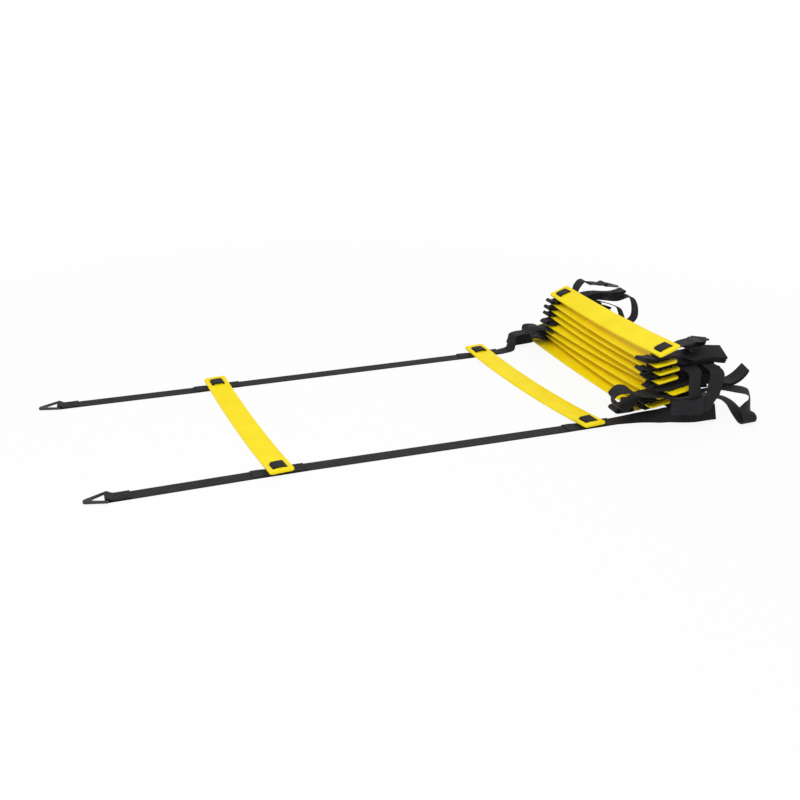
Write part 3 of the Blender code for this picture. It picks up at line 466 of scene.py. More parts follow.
def slat_blank(bow):
    shape = bmesh.new()
    bmesh.ops.create_cube(shape, size=1.0)
    bmesh.ops.scale(shape, vec=(RUNG_WIDTH, RUNG_LENGTH, RUNG_THICKNESS), verts=shape.verts)
    upright = [edge for edge in shape.edges if rise(edge) > HALF_SLAT]
    bevelled(shape, upright, SLAT_CORNER, segments=10)
    rims = [edge for edge in shape.edges if rise(edge) < HALF_SLAT / 2]
    bevelled(shape, rims, SLAT_ROUNDING, segments=5)
    for station in range(1, SLAT_STATIONS):
        everything = shape.verts[:] + shape.edges[:] + shape.faces[:]
        bmesh.ops.bisect_plane(shape, geom=everything, dist=0.001 * mm,
                               plane_co=(0, RUNG_LENGTH * (station / SLAT_STATIONS - 0.5), 0),
                               plane_no=(0, 1, 0))
    for vert in shape.verts:
        vert.co.z += bow_height(vert.co.y, bow)
    mesh = bpy.data.meshes.new("slat_blank")
    shape.to_mesh(mesh)
    shape.free()
    return mesh


# %% [markdown]
# The four slots are cut at once, with one Boolean each, and a fine bevel breaks their edges.

# %% Cut the slots
def slat_mesh(bow):
    blank = bpy.data.objects.new("slat", slat_blank(bow))
    scene.collection.objects.link(blank)
    tools = []
    for sign in SIDES.values():
        for across in (-SLOT_X, SLOT_X):
            tools.append(slot_tool(across, sign * STRAP_Y, bow))
            cut = blank.modifiers.new("slot", "BOOLEAN")
            cut.operation = "DIFFERENCE"
            cut.solver = "EXACT"
            cut.object = tools[-1]
    softened = blank.modifiers.new("slot_edges", "BEVEL")
    softened.width = SLOT_ROUNDING
    softened.segments = 2
    softened.limit_method = "ANGLE"
    softened.angle_limit = math.radians(60)
    bpy.context.view_layer.update()
    seen = blank.evaluated_get(bpy.context.evaluated_depsgraph_get())
    mesh = bpy.data.meshes.new_from_object(seen)
    for used in [blank, *tools]:
        bpy.data.objects.remove(used, do_unlink=True)
    mesh.shade_smooth()
    mesh.set_sharp_from_angle(angle=math.radians(35))
    return mesh


LAID_OUT_SLAT = slat_mesh(LAID_OUT_BOW)
PILED_SLAT = slat_mesh(PILED_BOW)
print("faces of a slat:", len(PILED_SLAT.polygons))

# %% [markdown]
# Each rung gets its own copy of one of the two slats, moved to its seat.

# %% Place the rungs
for number, seat in SEATS.items():
    slat = (LAID_OUT_SLAT if number in LAID_OUT else PILED_SLAT).copy()
    slat.name = f"slat_{number:02d}"
    slat.transform(seat)
    finished(slat, YELLOW_PLASTIC, f"rung_{number:02d}")
print("rungs placed:", len(SEATS))

# %% [markdown]
# ## A length of webbing
# Webbing is a flat ribbon. Its path is a row of places, each with half of the webbing's width
# as a vector, so the ribbon can turn, twist and stand on edge. A smooth curve runs through the
# rows, and rows are kept only where the webbing bends, or every few millimetres where it is
# straight.

# %% Smooth rows
STEPS_A_SPAN = 14
LEAST_SPAN = 0.01 * mm
LEAST_RUN = 0.25 * mm


def on_the_curve(rows):
    """Many rows on one smooth curve through the given rows, half widths included."""
    points = np.array([[*place, *half] for place, half in rows])
    ends = 2 * points[0] - points[1], 2 * points[-1] - points[-2]
    padded = [ends[0], *points, ends[1]]
    made = []
    for a, b, c, d in zip(padded, padded[1:], padded[2:], padded[3:]):
        t = [0.0]
        for here, there in ((a, b), (b, c), (c, d)):
            t.append(t[-1] + max(np.linalg.norm((there - here)[:3]), LEAST_SPAN) ** 0.5)
        for step in range(STEPS_A_SPAN):
            now = t[1] + (t[2] - t[1]) * step / STEPS_A_SPAN
            first = a + (b - a) * (now - t[0]) / (t[1] - t[0])
            second = b + (c - b) * (now - t[1]) / (t[2] - t[1])
            third = c + (d - c) * (now - t[2]) / (t[3] - t[2])
            left = first + (second - first) * (now - t[0]) / (t[2] - t[0])
            right = second + (third - second) * (now - t[1]) / (t[3] - t[1])
            made.append(left + (right - left) * (now - t[1]) / (t[2] - t[1]))
    made.append(points[-1])
    return [(Vector(point[:3]), Vector(point[3:])) for point in made]


def thinned(rows, turn=math.radians(9), reach=5 * mm):
    """Only the rows that a bend, a twist or a straight run needs."""
    kept = [rows[0]]
    turned = 0.0
    for (before, _), (place, half), (after, ahead) in zip(rows, rows[1:], rows[2:]):
        turned += (place - before).angle(after - place, 0.0) + half.angle(ahead, 0.0)
        run = (place - kept[-1][0]).length
        if run > LEAST_RUN and (turned > turn or run > reach):
            kept.append((place, half))
            turned = 0.0
    return [*kept, rows[-1]]


print("rows of a curve through 10 rows:", 9 * STEPS_A_SPAN + 1)

# %% [markdown]
# The ribbon's section is a flat oval with plump selvedges. It is laid as a closed loop of edges
# at the first row and extruded from row to row. Each row has its own upright, square to the
# run and to the width, so the thickness is kept round the tightest fold. The UV map keeps the
# distance along the webbing and the place across it, in metres.

# %% Section of the webbing
UPPER = [(-1.0, 0.38), (-0.975, 0.86), (-0.925, 1.0), (-0.6, 0.94), (-0.2, 0.97), (0.2, 0.97),
         (0.6, 0.94), (0.925, 1.0), (0.975, 0.86), (1.0, 0.38)]
SECTION = UPPER + [(across, -up) for across, up in reversed(UPPER)]


def uprights(rows):
    """The direction of the thickness at every row."""
    made = []
    for index, (place, half) in enumerate(rows):
        before = rows[max(index - 1, 0)][0]
        after = rows[min(index + 1, len(rows) - 1)][0]
        into, out = place - before, after - place
        run = into.normalized() + out.normalized()
        made.append(run.cross(half).normalized())
    return made


print("corners of the section:", len(SECTION))

# %% [markdown]
# Webbing that lies on the floor never dips into it: a row that would is lifted.

# %% Lay a ribbon
SHARP = math.radians(50)


def lay_webbing(shape, rows, on_floor=False):
    """Extrudes the section along the rows, and gives the length of the webbing."""
    laid = shape.loops.layers.uv.get("webbing") or shape.loops.layers.uv.new("webbing")
    lanes = range(len(SECTION))
    line, along, fresh_faces = [], 0.0, []
    for index, ((place, half), upright) in enumerate(zip(rows, uprights(rows))):
        ring = [place + half * across + upright * (HALF_STRAP * up) for across, up in SECTION]
        dip = min(corner.z for corner in ring) if on_floor else 0.0
        ring = [corner - Vector((0, 0, min(dip, 0.0))) for corner in ring]
        if not line:
            line = [shape.verts.new(corner) for corner in ring]
            edges = [shape.edges.new((line[lane - 1], line[lane])) for lane in lanes]
            fresh_faces += bmesh.ops.contextual_create(shape, geom=edges)["faces"]
        else:
            moved = bmesh.ops.extrude_edge_only(shape, edges=edges)["geom"]
            fresh = {item for item in moved if isinstance(item, bmesh.types.BMVert)}
            lane_of = {vert: lane for lane, vert in enumerate(line)}
            ahead = [None] * len(line)
            for vert, lane in list(lane_of.items()):
                ahead[lane] = next(edge.other_vert(vert) for edge in vert.link_edges
                                   if edge.other_vert(vert) in fresh)
                ahead[lane].co = ring[lane]
                lane_of[ahead[lane]] = lane
            further = along + (place - rows[index - 1][0]).length
            for face in (item for item in moved if isinstance(item, bmesh.types.BMFace)):
                for loop in face.loops:
                    across = SECTION[lane_of[loop.vert]][0] * STRAP_WIDTH / 2
                    loop[laid].uv = (further if loop.vert in fresh else along, across)
                fresh_faces.append(face)
            edges = [item for item in moved if isinstance(item, bmesh.types.BMEdge)
                     and item.verts[0] in fresh and item.verts[1] in fresh]
            line, along = ahead, further
    fresh_faces += bmesh.ops.contextual_create(shape, geom=edges)["faces"]
    bmesh.ops.recalc_face_normals(shape, faces=fresh_faces)
    return along


def mesh_of(shape, name):
    mesh = bpy.data.meshes.new(name)
    shape.to_mesh(mesh)
    shape.free()
    mesh.shade_smooth()
    mesh.set_sharp_from_angle(angle=SHARP)
    return mesh


print("edges sharper than", round(math.degrees(SHARP)), "degrees stay sharp")

# %% [markdown]
# ## Reading the folds back
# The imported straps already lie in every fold. Each is a chain of rows of four corners, so
# counting steps from its first row sorts the corners into rows. The middle of a row is a
# place on the path, and half the distance between its two sides is the half width. A long
# straight run can keep a corner on one side only, and such a corner is welded away first.

# %% Rows of a packed strap
SAME_PLACE = 0.002 * mm
WIDTH_ERROR = 0.1 * mm
STRAIGHT = math.radians(0.01)


def lone_corner(shape):
    """A corner on a straight edge that has no partner across the webbing, and its neighbour."""
    for vert in shape.verts:
        around = [edge.other_vert(vert) for edge in vert.link_edges]
        spokes = [other.co - vert.co for other in around]
        paired = any(abs(spoke.length - STRAP_WIDTH) < WIDTH_ERROR for spoke in spokes)
        for (other, spoke), (_, opposite) in combinations(zip(around, spokes), 2):
            if not paired and spoke.angle(-opposite) < STRAIGHT:
                return vert, other
    return None


def packed_rows(node, start, side, up):
    """Middles and half widths of the rows, from the end whose own corners are given."""
    shape = bmesh.new()
    shape.from_mesh(frame["nodes"][node].data)
    bmesh.ops.remove_doubles(shape, verts=shape.verts, dist=SAME_PLACE)
    while lone := lone_corner(shape):
        bmesh.ops.weld_verts(shape, targetmap={lone[0]: lone[1]})
    shape.verts.index_update()
    corners = [start + side * across + up * above for across in (-1, 1) for above in (-1, 1)]
    nearest = [min(shape.verts, key=lambda vert: (vert.co - corner).length)
               for corner in corners]
    seen = set(nearest)
    rows = []
    while nearest:
        middle = sum((vert.co for vert in nearest), Vector()) / len(nearest)
        plus = [vert.co for vert in nearest if (vert.co - middle).dot(side) > 0]
        minus = [vert.co for vert in nearest if (vert.co - middle).dot(side) <= 0]
        half = (sum(plus, Vector()) / len(plus) - sum(minus, Vector()) / len(minus)) / 2
        rows.append((middle, half))
        side = half
        following = set()
        for vert in nearest:
            following.update(edge.other_vert(vert) for edge in vert.link_edges)
        nearest = sorted(following - seen, key=lambda vert: vert.index)
        seen.update(nearest)
    shape.free()
    return rows


print("corners closer than", SAME_PLACE / mm, "mm are one corner")

# %% [markdown]
# Under each rung the strap runs straight. Its keeper is sewn on there, as far as the tabs
# reach, and the strap's own node begins a little further out.

# %% The strap under a rung
KEEPER_REACH = {"laid out": 40 * mm, "piled": 17 * mm}
KEEPER_END = {"laid out": 43.3 * mm, "piled": 19.3 * mm}
PILED_STRAP_MID = HALF_STRAP - (HALF_SLAT + PILED_PLAY + 2 * STRAP_THICKNESS)


def way_of(number):
    return "laid out" if number in LAID_OUT else "piled"


def strap_line(number, sign, along, ply=0):
    """A place on the strap's line under a rung, and half the width there. Ply 1 is the tab."""
    seat = SEATS[number]
    if number in LAID_OUT:
        place = seat @ Vector((along, sign * STRAP_Y - math.tan(TURNS[number]) * along, 0))
        place.z = HALF_STRAP + ply * STRAP_THICKNESS
    else:
        place = seat @ Vector((along, sign * STRAP_Y, PILED_STRAP_MID + ply * STRAP_THICKNESS))
    return place, seat.to_3x3() @ Vector((0, STRAP_WIDTH / 2, 0))


def strap_up(number):
    """Half of the strap's thickness, upright to it, where it leaves a rung."""
    return SEATS[number].to_3x3() @ Vector((0, 0, HALF_STRAP))


place, half = strap_line(7, -1, KEEPER_END["piled"])
print("rows of near_bay_07:", len(packed_rows("near_bay_07", place, half, strap_up(7))))

# %% [markdown]
# Beside a laid-out rung the real webbing simply creases when the ladder is folded up. Here the
# straps on both sides of a crease ride on different bodies, so each strap stops short of the
# crease, and a short ribbon of its own lies across it.

# %% Room for the creases
CREASE_HALF = 2.6 * mm


def cut_back(rows, at_start, length):
    """Moves the first or the last row inwards along a straight end."""
    rows = rows if at_start else rows[::-1]
    direction = (rows[1][0] - rows[0][0]).normalized()
    rows = [(rows[0][0] + direction * length, rows[0][1]), *rows[1:]]
    return rows if at_start else rows[::-1]


print("length of a crease:", round(2 * CREASE_HALF / mm, 1), "mm")

# %% [markdown]
# Loose webbing never lies as evenly as a drawing. Every fold of the pile is bent a few
# millimetres further by one smooth field of waves, which moves neighbouring folds together and
# so keeps them apart. It fades out towards the rungs, the rings and the floor. Beside the near
# ends of the rungs it also draws the turns of the webbing further out of the pile.

# %% A field that ruffles the folds
RUFFLE = 3.4 * mm
WAVES = [((61, 17, 0), (0.2, 0.8, 0.9), 0.4), ((-23, 47, 31), (0.9, 0.3, 0.4), 1.9),
         ((37, -29, 53), (-0.5, 0.6, 0.7), 3.1), ((12, 71, -44), (0.6, -0.5, 0.5), 5.0)]
OUTSIDE = (2 * mm, 30 * mm)
OFF_THE_FLOOR = (4 * mm, 40 * mm)
LEFT_OF_THE_PILE = (44 * mm, 64 * mm)
NEAR_ENDS_Y = -206 * mm
BESIDE_NEAR_ENDS = (16 * mm, 34 * mm)
TURN_EDGE_X = PILE_X - 21 * mm
TURNS_DRAWN_SHARE = 0.9
DRAWN_REACH = 9 * mm
DRAWN_HEIGHTS = (44 * mm, 56 * mm)


def fade(value, low, high):
    share = min(1.0, max(0.0, (value - low) / (high - low)))
    return share * share * (3 - 2 * share)


def outside_pile(place):
    """0 among the rungs and 1 from 30 mm beyond their long edges."""
    return fade(abs(place.x - PILE_X) - RUNG_WIDTH / 2, *OUTSIDE)


def ruffled(place):
    moved = Vector()
    for wave, way, phase in WAVES:
        moved += Vector(way) * math.sin(Vector(wave).dot(place) + phase)
    moved *= RUFFLE * outside_pile(place)
    moved.z *= fade(place.z, *OFF_THE_FLOOR)
    if place.x < PILE_X:
        moved *= fade(place.z, *LEFT_OF_THE_PILE)
    beyond = TURN_EDGE_X - place.x
    beside = 1 - fade(abs(place.y - NEAR_ENDS_Y), *BESIDE_NEAR_ENDS)
    if beyond > 0:
        drawn = TURNS_DRAWN_SHARE * min(beyond, DRAWN_REACH)
        moved.x -= drawn * beside * fade(place.z, *DRAWN_HEIGHTS)
    return place + moved


def ruffle_rows(rows, held_end=0.0):
    """Rows bent by the field, which fades out over the last held_end of the webbing."""
    left = sum((there[0] - here[0]).length for here, there in zip(rows, rows[1:]))
    made = []
    for index, (place, half) in enumerate(rows):
        if index:
            left -= (place - rows[index - 1][0]).length
        loose = fade(left, held_end * 0.6, held_end) if held_end else 1.0
        middle = place.lerp(ruffled(place), loose)
        spread = (ruffled(place + half) - ruffled(place - half)) / 2
        turned = half.lerp(spread, loose).normalized() * half.length
        made.append((middle, turned))
    return made


print("ruffle at most about", round(2 * RUFFLE / mm, 1), "mm")

# %% [markdown]
# Two folds need a shape of their own. The loop that hangs over the right side swells open where
# it turns on the floor, and the strap that comes in along the floor stands up more steeply on
# its edge in front of the pile.

# %% Folds set one by one
PUFFS = {("near", 4): [(180 * mm, 232 * mm, Vector((1, -2, 9)) * mm)]}
STEEPER = math.radians(20)
STANDS_UP_X = (588 * mm, 640 * mm)
LIES_DOWN_Y = (-226 * mm, -212 * mm)


def puffed(rows, puffs):
    """Pushes a length of the webbing sideways, most in the middle of that length."""
    run, made = 0.0, []
    for index, (place, half) in enumerate(rows):
        run += (place - rows[index - 1][0]).length if index else 0.0
        for start, end, push in puffs:
            if start < run < end:
                place = place + push * math.sin(math.pi * (run - start) / (end - start)) ** 2
        made.append((place, half))
    return made


def stood_up(rows):
    """Turns the webbing further onto its lower edge where it lies in front of the pile."""
    made = []
    for place, half in rows:
        share = fade(place.x, *STANDS_UP_X) * (1 - fade(place.y, *LIES_DOWN_Y))
        flat = half.cross(Vector((0, 0, 1)))
        if share and flat.length > 1 * mm:
            half = Matrix.Rotation(STEEPER * share, 3, flat) @ half
            place = Vector((place.x, place.y, max(place.z, abs(half.z) + HALF_STRAP)))
        made.append((place, half))
    return made


print("folds set by hand:", len(PUFFS) + 1)

# %% [markdown]
# Now every strap is laid. Number 0 is the tail before the first rung, numbers 1 to 9 are the
# bays that follow those rungs, and number 10 is the tail after the last rung.

# %% Straps in their folds
TAIL_ROWS = {}
TAIL_HELD = 60 * mm


def strap_node(side, number):
    ends = {0: f"{side}_tail_01", LAST_RUNG: f"{side}_tail_{LAST_RUNG}"}
    return ends.get(number, f"{side}_bay_{number:02d}")


for side, sign in SIDES.items():
    for number in range(LAST_RUNG + 1):
        rung = max(number, 1)
        sense = -1 if number == 0 else 1
        node = strap_node(side, number)
        place, half = strap_line(rung, sign, sense * KEEPER_END[way_of(rung)])
        rows = packed_rows(node, place, half, strap_up(rung))
        if number in (0, LAST_RUNG):
            TAIL_ROWS[node] = rows
        if rung in LAID_OUT:
            rows = cut_back(rows, True, CREASE_HALF)
        if number == 1:
            rows = cut_back(rows, False, CREASE_HALF)
        rows = on_the_curve(rows)
        if number > 1:
            rows = ruffle_rows(rows, held_end=TAIL_HELD if number == LAST_RUNG else 0.0)
        rows = puffed(rows, PUFFS.get((side, number), []))
        if (side, number) == ("near", 2):
            rows = stood_up(rows)
        rows = thinned(rows)
        shape = bmesh.new()
        length = lay_webbing(shape, rows, on_floor=True)
        mesh = mesh_of(shape, f"{side}_webbing_{number:02d}")
        finished(mesh, BLACK_WEBBING, node)
        print(mesh.name, round(length / mm), "mm,", len(rows), "rows")

# %% [markdown]
# ## Keepers
# Where a rung hangs in a strap, a second short length of webbing passes up through one slot,
# over the bridge of plastic between the slots, and down through the other. Its two tails are
# sewn flat on the strap. The loop is a ribbon with four bends, and the strap's own length under
# it is a second ribbon in the same piece.

# %% Rows of a loop over a bridge
LEG_BEND = 1.5 * mm
LEG_STEPS = 6
CROWN = 0.25 * mm
CROWN_SHARES = (-0.6, -0.3, 0.0)
CROWN_END_SHARE = 0.8
TAB_SHARES = (1.0, 0.8, 0.6, 0.45)


def loop_rows(number, sign):
    seat = SEATS[number]
    play = LAID_OUT_PLAY if number in LAID_OUT else PILED_PLAY
    half = seat.to_3x3() @ Vector((0, STRAP_WIDTH / 2, 0))
    roof = HALF_SLAT + play + HALF_STRAP
    reach = KEEPER_REACH[way_of(number)]
    tab = (seat.inverted() @ strap_line(number, sign, 0.0, ply=1)[0]).z
    tabs = [SLOT_X + (reach - SLOT_X) * share for share in TAB_SHARES]
    rows = [strap_line(number, sign, -along, ply=1) for along in tabs]
    profile = []
    for step in range(LEG_STEPS + 1):
        angle = math.pi / 2 * step / LEG_STEPS
        profile.append((-SLOT_X - LEG_BEND + LEG_BEND * math.sin(angle),
                        tab + LEG_BEND * (1 - math.cos(angle))))
    for step in range(LEG_STEPS + 1):
        angle = math.pi / 2 * step / LEG_STEPS
        profile.append((-SLOT_X + LEG_BEND * (1 - math.cos(angle)),
                        roof - LEG_BEND * (1 - math.sin(angle))))
    profile += [(share * SLOT_X, roof + CROWN * (1 - (share / CROWN_END_SHARE) ** 2))
                for share in CROWN_SHARES]
    profile += [(-x, z) for x, z in reversed(profile[:-1])]
    rows += [(seat @ Vector((x, sign * STRAP_Y, z)), half * GATHERED_SHARE) for x, z in profile]
    return rows + [strap_line(number, sign, along, ply=1) for along in reversed(tabs)]


print("rows of a loop:", len(loop_rows(1, -1)))


# %% [markdown]
# ## Stitches
# The tabs are held by a sewn box with a cross in it. A stitch is a small plump grain of thread
# that dips into the webbing at both ends, so a flattened sphere does for it, and a row of them
# at an even pitch reads as a seam.

# %% A sewn box
STITCH_PITCH = 2.9 * mm
THREAD = 0.55 * mm
STITCH_HALVES = (STITCH_PITCH * 0.44, THREAD / 2, THREAD * 0.42)


def sew(shape, corner, along, across, lines):
    """Rows of stitches on a flat patch. Lines are in shares of the patch's two sides."""
    upright = along.cross(across).normalized()
    if upright.z < 0:
        upright = -upright
    for (u0, v0), (u1, v1) in lines:
        start = corner + along * u0 + across * v0
        end = corner + along * u1 + across * v1
        count = max(1, round((end - start).length / STITCH_PITCH))
        ahead = (end - start).normalized()
        turn = Matrix((ahead, upright.cross(ahead), upright)).transposed().to_4x4()
        for index in range(count):
            turn.translation = start.lerp(end, (index + 0.5) / count)
            bmesh.ops.create_uvsphere(shape, u_segments=8, v_segments=5, radius=1.0,
                                      matrix=turn @ Matrix.Diagonal((*STITCH_HALVES, 1.0)))


SEWN_BOX = [((0, 0), (1, 0)), ((0, 1), (1, 1)), ((0, 0), (0, 1)), ((1, 0), (1, 1)),
            ((0, 0), (1, 1)), ((0, 1), (1, 0))]
print("lines of a sewn box:", len(SEWN_BOX))

# %% [markdown]
# There is a keeper at both ends of every rung, in one piece with the strap under it.

# %% Keepers of all the rungs
LOOP_TURN = math.radians(8)
for number in SEATS:
    for side, sign in SIDES.items():
        node = f"{side}_keeper_{number:02d}"
        end = KEEPER_END[way_of(number)] - (CREASE_HALF if number in LAID_OUT else 0.0)
        shape = bmesh.new()
        base = [strap_line(number, sign, end * share) for share in (-1, -0.5, 0, 0.5, 1)]
        lay_webbing(shape, base, on_floor=number in LAID_OUT)
        lay_webbing(shape, thinned(loop_rows(number, sign), turn=LOOP_TURN))
        mesh = mesh_of(shape, f"{side}_loop_{number:02d}")
        finished(mesh, BLACK_WEBBING, node)
print("keepers:", 2 * len(SEATS))

# %% [markdown]
# The tabs of the two laid-out rungs are in full view, so each gets its sewn box. The piled rungs
# hide theirs.

# %% Seams of the tabs
LIES_ON = 0.05 * mm
TAB_TOP = 2 * STRAP_THICKNESS + LIES_ON
SEAM_INSET = 2.5 * mm
SEAM_FROM = 21.5 * mm
SEAM_TO = KEEPER_REACH["laid out"] - 1.5 * mm


def seam_piece(name, body, patches):
    shape = bmesh.new()
    for corner, along, across in patches:
        sew(shape, corner, along, across, SEWN_BOX)
    made = placed(mesh_of(shape, name), BLACK_THREAD)
    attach(made, body)


for number in LAID_OUT:
    for side, sign in SIDES.items():
        patches = []
        for sense in (-1, 1):
            inner, half = strap_line(number, sign, sense * SEAM_FROM)
            outer, _ = strap_line(number, sign, sense * SEAM_TO)
            inner.z = outer.z = TAB_TOP
            across = half * (2 * (1 - SEAM_INSET / half.length))
            patches.append((inner - across / 2, outer - inner, across))
        seam_piece(f"{side}_seam_{number:02d}", body_of(f"{side}_keeper_{number:02d}"), patches)
print("thread:", BLACK_THREAD.name)

# %% [markdown]
# Each of the four tails is folded back round the bar of its ring and sewn down with a box of its
# own. The box lies on the outer face of the fold, away from the strap beneath.

# %% Seams of the tails
TAIL_SEAM = 16 * mm
ROUND_THE_RING = 50 * mm


def under_end(rows):
    """The place on the strap that its folded-back end lies on."""
    left, places = 0.0, []
    for (here, _), (there, _) in zip(rows[::-1], rows[-2::-1]):
        left += (there - here).length
        if left > ROUND_THE_RING:
            places.append(there)
    return min(places, key=lambda place: (place - rows[-1][0]).length)


for node, rows in TAIL_ROWS.items():
    end, half = rows[-1]
    inwards = (rows[-2][0] - end).normalized()
    upright = inwards.cross(half).normalized()
    if upright.dot(end - under_end(rows)) < 0:
        upright = -upright
    across = half * (2 * (1 - SEAM_INSET / half.length))
    corner = end + inwards * SEAM_INSET + upright * (HALF_STRAP + LIES_ON) - across / 2
    seam_piece(node.replace("tail", "tail_seam"), body_of(node),
               [(corner, inwards * TAIL_SEAM, across)])
print("seams of the tails:", len(TAIL_ROWS))

# %% [markdown]
# ## Creases
# Each crease is five millimetres of webbing between a keeper and a strap. It is laid straight
# across the joint.

# %% Creases beside the laid-out rungs
CREASE_STEPS = 6
CREASES = [("rung_2_fold", 2, 1, "pile", "rung_2"), ("bay_1_fold", 2, -1, "rung_2", "bay_1"),
           ("rung_1_fold", 1, 1, "bay_1", "rung_1")]
TAIL_CREASES = {"near": ("near_tail_fold", 1, -1, "rung_1", "near_tail"),
                "far": ("far_tail_fold", 1, -1, "rung_1", "far_tail")}
for side, sign in SIDES.items():
    for joint, number, sense, first, second in [*CREASES, TAIL_CREASES[side]]:
        middle = KEEPER_END["laid out"]
        reaches = [middle + CREASE_HALF * step / CREASE_STEPS
                   for step in range(-CREASE_STEPS, CREASE_STEPS + 1)]
        rows = [strap_line(number, sign, sense * reach) for reach in reaches]
        keeper_body = body_of(f"{side}_keeper_{number:02d}")
        shape = bmesh.new()
        lay_webbing(shape, rows, on_floor=True)
        crease = placed(mesh_of(shape, f"{side}_crease_{joint}"), BLACK_WEBBING)
        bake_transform(crease)
print("creases:", 2 * (len(CREASES) + 1))

# %% [markdown]
# ## Rings
# A ring is a moulded triangle: a round bar for the webbing, two flat legs and a solid blunt tip.
# It is drawn as an outer and an inner outline with round corners. The two are bridged to a flat
# plate, the plate is extruded, and a wide bevel rounds all its edges. Where the ring sits is
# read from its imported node: the joint gives the line of the bar, and the middle of the corners
# gives the way to the tip.

# %% Seat of a ring
RING_OUTER_CORNER = 4 * mm
RING_INNER_CORNER = 2.2 * mm
RING_ROUNDING = 1.25 * mm
RING_OUTER = [(-1.8, -18.5), (33.8, -4.5), (33.8, 4.5), (-1.8, 18.5)]
RING_INNER = [(1.8, -12.4), (20.5, -3.4), (20.5, 3.4), (1.8, 12.4)]
BAR = 3.6 * mm
JOINTS = {joint["name"]: joint for joint in frame["joints"]}


def ring_seat(node, joint):
    """A frame on the middle of the bar: X to the tip, Y along the bar."""
    anchor, axis = Vector(JOINTS[joint]["pos_m"]), Vector(JOINTS[joint]["axis"]).normalized()
    corners = [vert.co for vert in frame["nodes"][node].data.vertices]
    middle = sum(corners, Vector()) / len(corners)
    anchor += axis * (middle - anchor).dot(axis)
    ahead = (middle - anchor).normalized()
    seat = Matrix((ahead, axis, ahead.cross(axis))).transposed().to_4x4()
    seat.translation = anchor
    return seat


print("joints in the frame:", len(JOINTS))

# %% [markdown]
# A round corner is a short curve from one side to the next, drawn towards the corner itself.

# %% Moulded ring
def round_outline(shape, corners, radius, steps=8):
    """A closed loop of edges with round corners, drawn in millimetres on the floor plane."""
    verts = []
    corners = [Vector((x, y, 0)) * mm for x, y in corners]
    for index, corner in enumerate(corners):
        into, out = corners[index - 1] - corner, corners[(index + 1) % len(corners)] - corner
        reach = min(radius, into.length / 2.2, out.length / 2.2)
        first, last = corner + into.normalized() * reach, corner + out.normalized() * reach
        for step in range(steps + 1):
            share = step / steps
            place = first.lerp(corner, share).lerp(corner.lerp(last, share), share)
            verts.append(shape.verts.new(place))
    return [shape.edges.new((verts[index - 1], vert)) for index, vert in enumerate(verts)]


def ring_mesh(name, seat):
    shape = bmesh.new()
    outer = round_outline(shape, RING_OUTER, RING_OUTER_CORNER)
    inner = round_outline(shape, RING_INNER, RING_INNER_CORNER)
    plate = bmesh.ops.bridge_loops(shape, edges=[*outer, *inner])["faces"]
    bmesh.ops.translate(shape, vec=(0, 0, -BAR / 2), verts=shape.verts)
    lifted = bmesh.ops.extrude_face_region(shape, geom=plate, use_keep_orig=True)["geom"]
    bmesh.ops.translate(shape, vec=(0, 0, BAR),
                        verts=[item for item in lifted if isinstance(item, bmesh.types.BMVert)])
    bmesh.ops.recalc_face_normals(shape, faces=shape.faces)
    rims = [edge for edge in shape.edges
            if len(edge.link_faces) == 2 and edge.calc_face_angle() > math.radians(60)]
    bevelled(shape, rims, RING_ROUNDING, segments=4, clamp=True)
    bmesh.ops.transform(shape, matrix=seat, verts=shape.verts)
    return mesh_of(shape, name)


for node, joint in (("near_ring_01", "near_ring_swing"), ("far_ring_01", "far_ring_swing"),
                    ("near_ring_10", "near_pile_ring_swing"),
                    ("far_ring_10", "far_pile_ring_swing")):
    mesh = ring_mesh(node.replace("ring", "moulded_ring"), ring_seat(node, joint))
    finished(mesh, BLACK_PLASTIC, node)
print("faces of a ring:", len(mesh.polygons))

# %% [markdown]
# ## The floor and the light
# A pale studio: the floor runs on to the horizon and shows almost white to the camera, while
# the part of it that takes light keeps the ladder's soft shadow. Two broad lamps and a pale
# sky light the ladder evenly.

# %% Floor
FLOOR_HALF = 60.0
FLOOR_GREY = (0.86, 0.86, 0.86, 1.0)
WHITE = (1.0, 1.0, 1.0, 1.0)
LADDER_MIDDLE = (0.25, 0.0, 0.0)
WHITE_SHARE = 0.9
ALL_WHITE_BETWEEN = (0.7, 1.7)


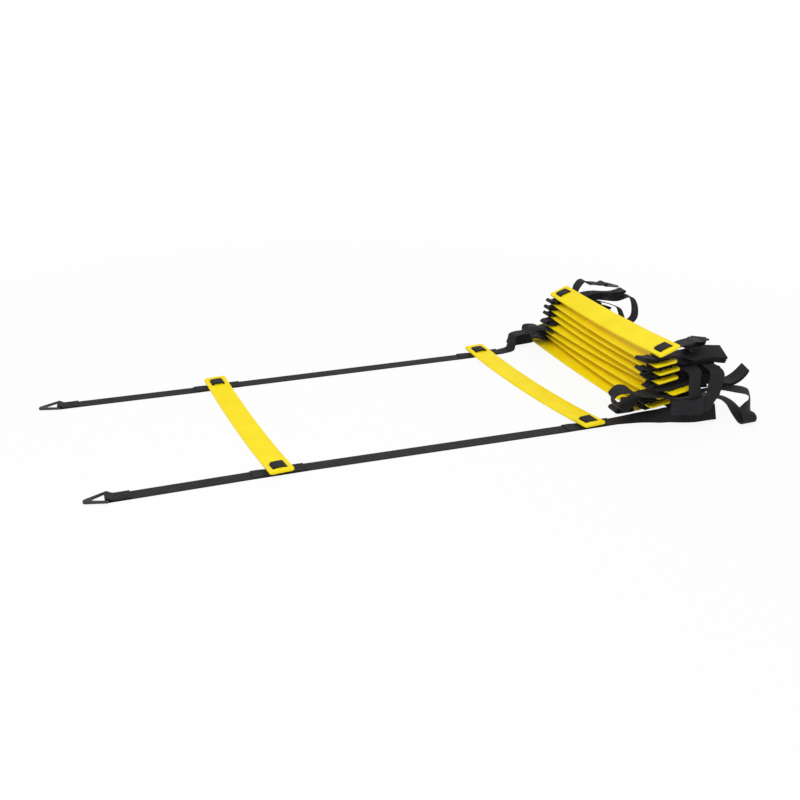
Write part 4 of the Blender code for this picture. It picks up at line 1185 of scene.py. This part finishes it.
def pale_floor():
    made = bpy.data.materials.new("pale_floor")
    made.use_nodes = True
    tree = made.node_tree
    shader = tree.nodes["Principled BSDF"]
    shader.inputs["Base Color"].default_value = FLOOR_GREY
    shader.inputs["Roughness"].default_value = 0.9
    shader.inputs["Specular IOR Level"].default_value = 0.0
    glow = make_node(tree, "ShaderNodeEmission", {"Color": WHITE, "Strength": 1.0})
    seen = tree.nodes.new("ShaderNodeLightPath")
    looked_at = Wire(tree, seen.outputs["Is Camera Ray"]) + Wire(tree, seen.outputs["Is Glossy Ray"])
    lit = Wire(tree, shader.outputs[0])
    place = make_node(tree, "ShaderNodeTexCoord", {}, output=3)
    away = make_node(tree, "ShaderNodeVectorMath", {0: place, 1: LADDER_MIDDLE}, output=1,
                     operation="DISTANCE")
    white_share = WHITE_SHARE + (1 - WHITE_SHARE) * away.ramp(*ALL_WHITE_BETWEEN)
    mixed = make_node(tree, "ShaderNodeMixShader", {0: looked_at * white_share, 1: lit, 2: glow})
    tree.links.new(mixed.socket, tree.nodes["Material Output"].inputs["Surface"])
    return made


shape = bmesh.new()
bmesh.ops.create_grid(shape, x_segments=1, y_segments=1, size=FLOOR_HALF)
sheet = bpy.data.meshes.new("floor")
shape.to_mesh(sheet)
shape.free()
floor = bpy.data.objects.new("floor", sheet)
sheet.materials.append(pale_floor())
scene.collection.objects.link(floor)
print("floor:", 2 * FLOOR_HALF, "m across")

# %% [markdown]
# The sky lights the ladder with a soft grey but looks pure white. The key lamp stands in front
# on the left, and the weaker fill lamp stands behind on the right.

# %% Sky and lamps
SKY_LIGHT = (0.55, 0.56, 0.575, 1.0)
world = bpy.data.worlds.new("studio")
scene.world = world
world.use_nodes = True
sky = world.node_tree.nodes["Background"]
path = world.node_tree.nodes.new("ShaderNodeLightPath")
looked = Wire(world.node_tree, path.outputs["Is Camera Ray"])
white = blend_colours(world.node_tree, looked, SKY_LIGHT, WHITE)
world.node_tree.links.new(white.socket, sky.inputs["Color"])


def soft_box(name, place, target, size, power):
    data = bpy.data.lights.new(name, "AREA")
    data.shape = "DISK"
    data.size = size
    data.energy = power
    made = bpy.data.objects.new(name, data)
    scene.collection.objects.link(made)
    direction = Vector(target) - Vector(place)
    made.matrix_world = (Matrix.Translation(place)
                         @ direction.to_track_quat("-Z", "Y").to_matrix().to_4x4())


soft_box("key", place=(-0.8, -1.2, 2.4), target=(0.3, 0, 0), size=1.6, power=37)
soft_box("fill", place=(1.9, 1.4, 1.8), target=(0.4, 0, 0), size=1.8, power=17.5)
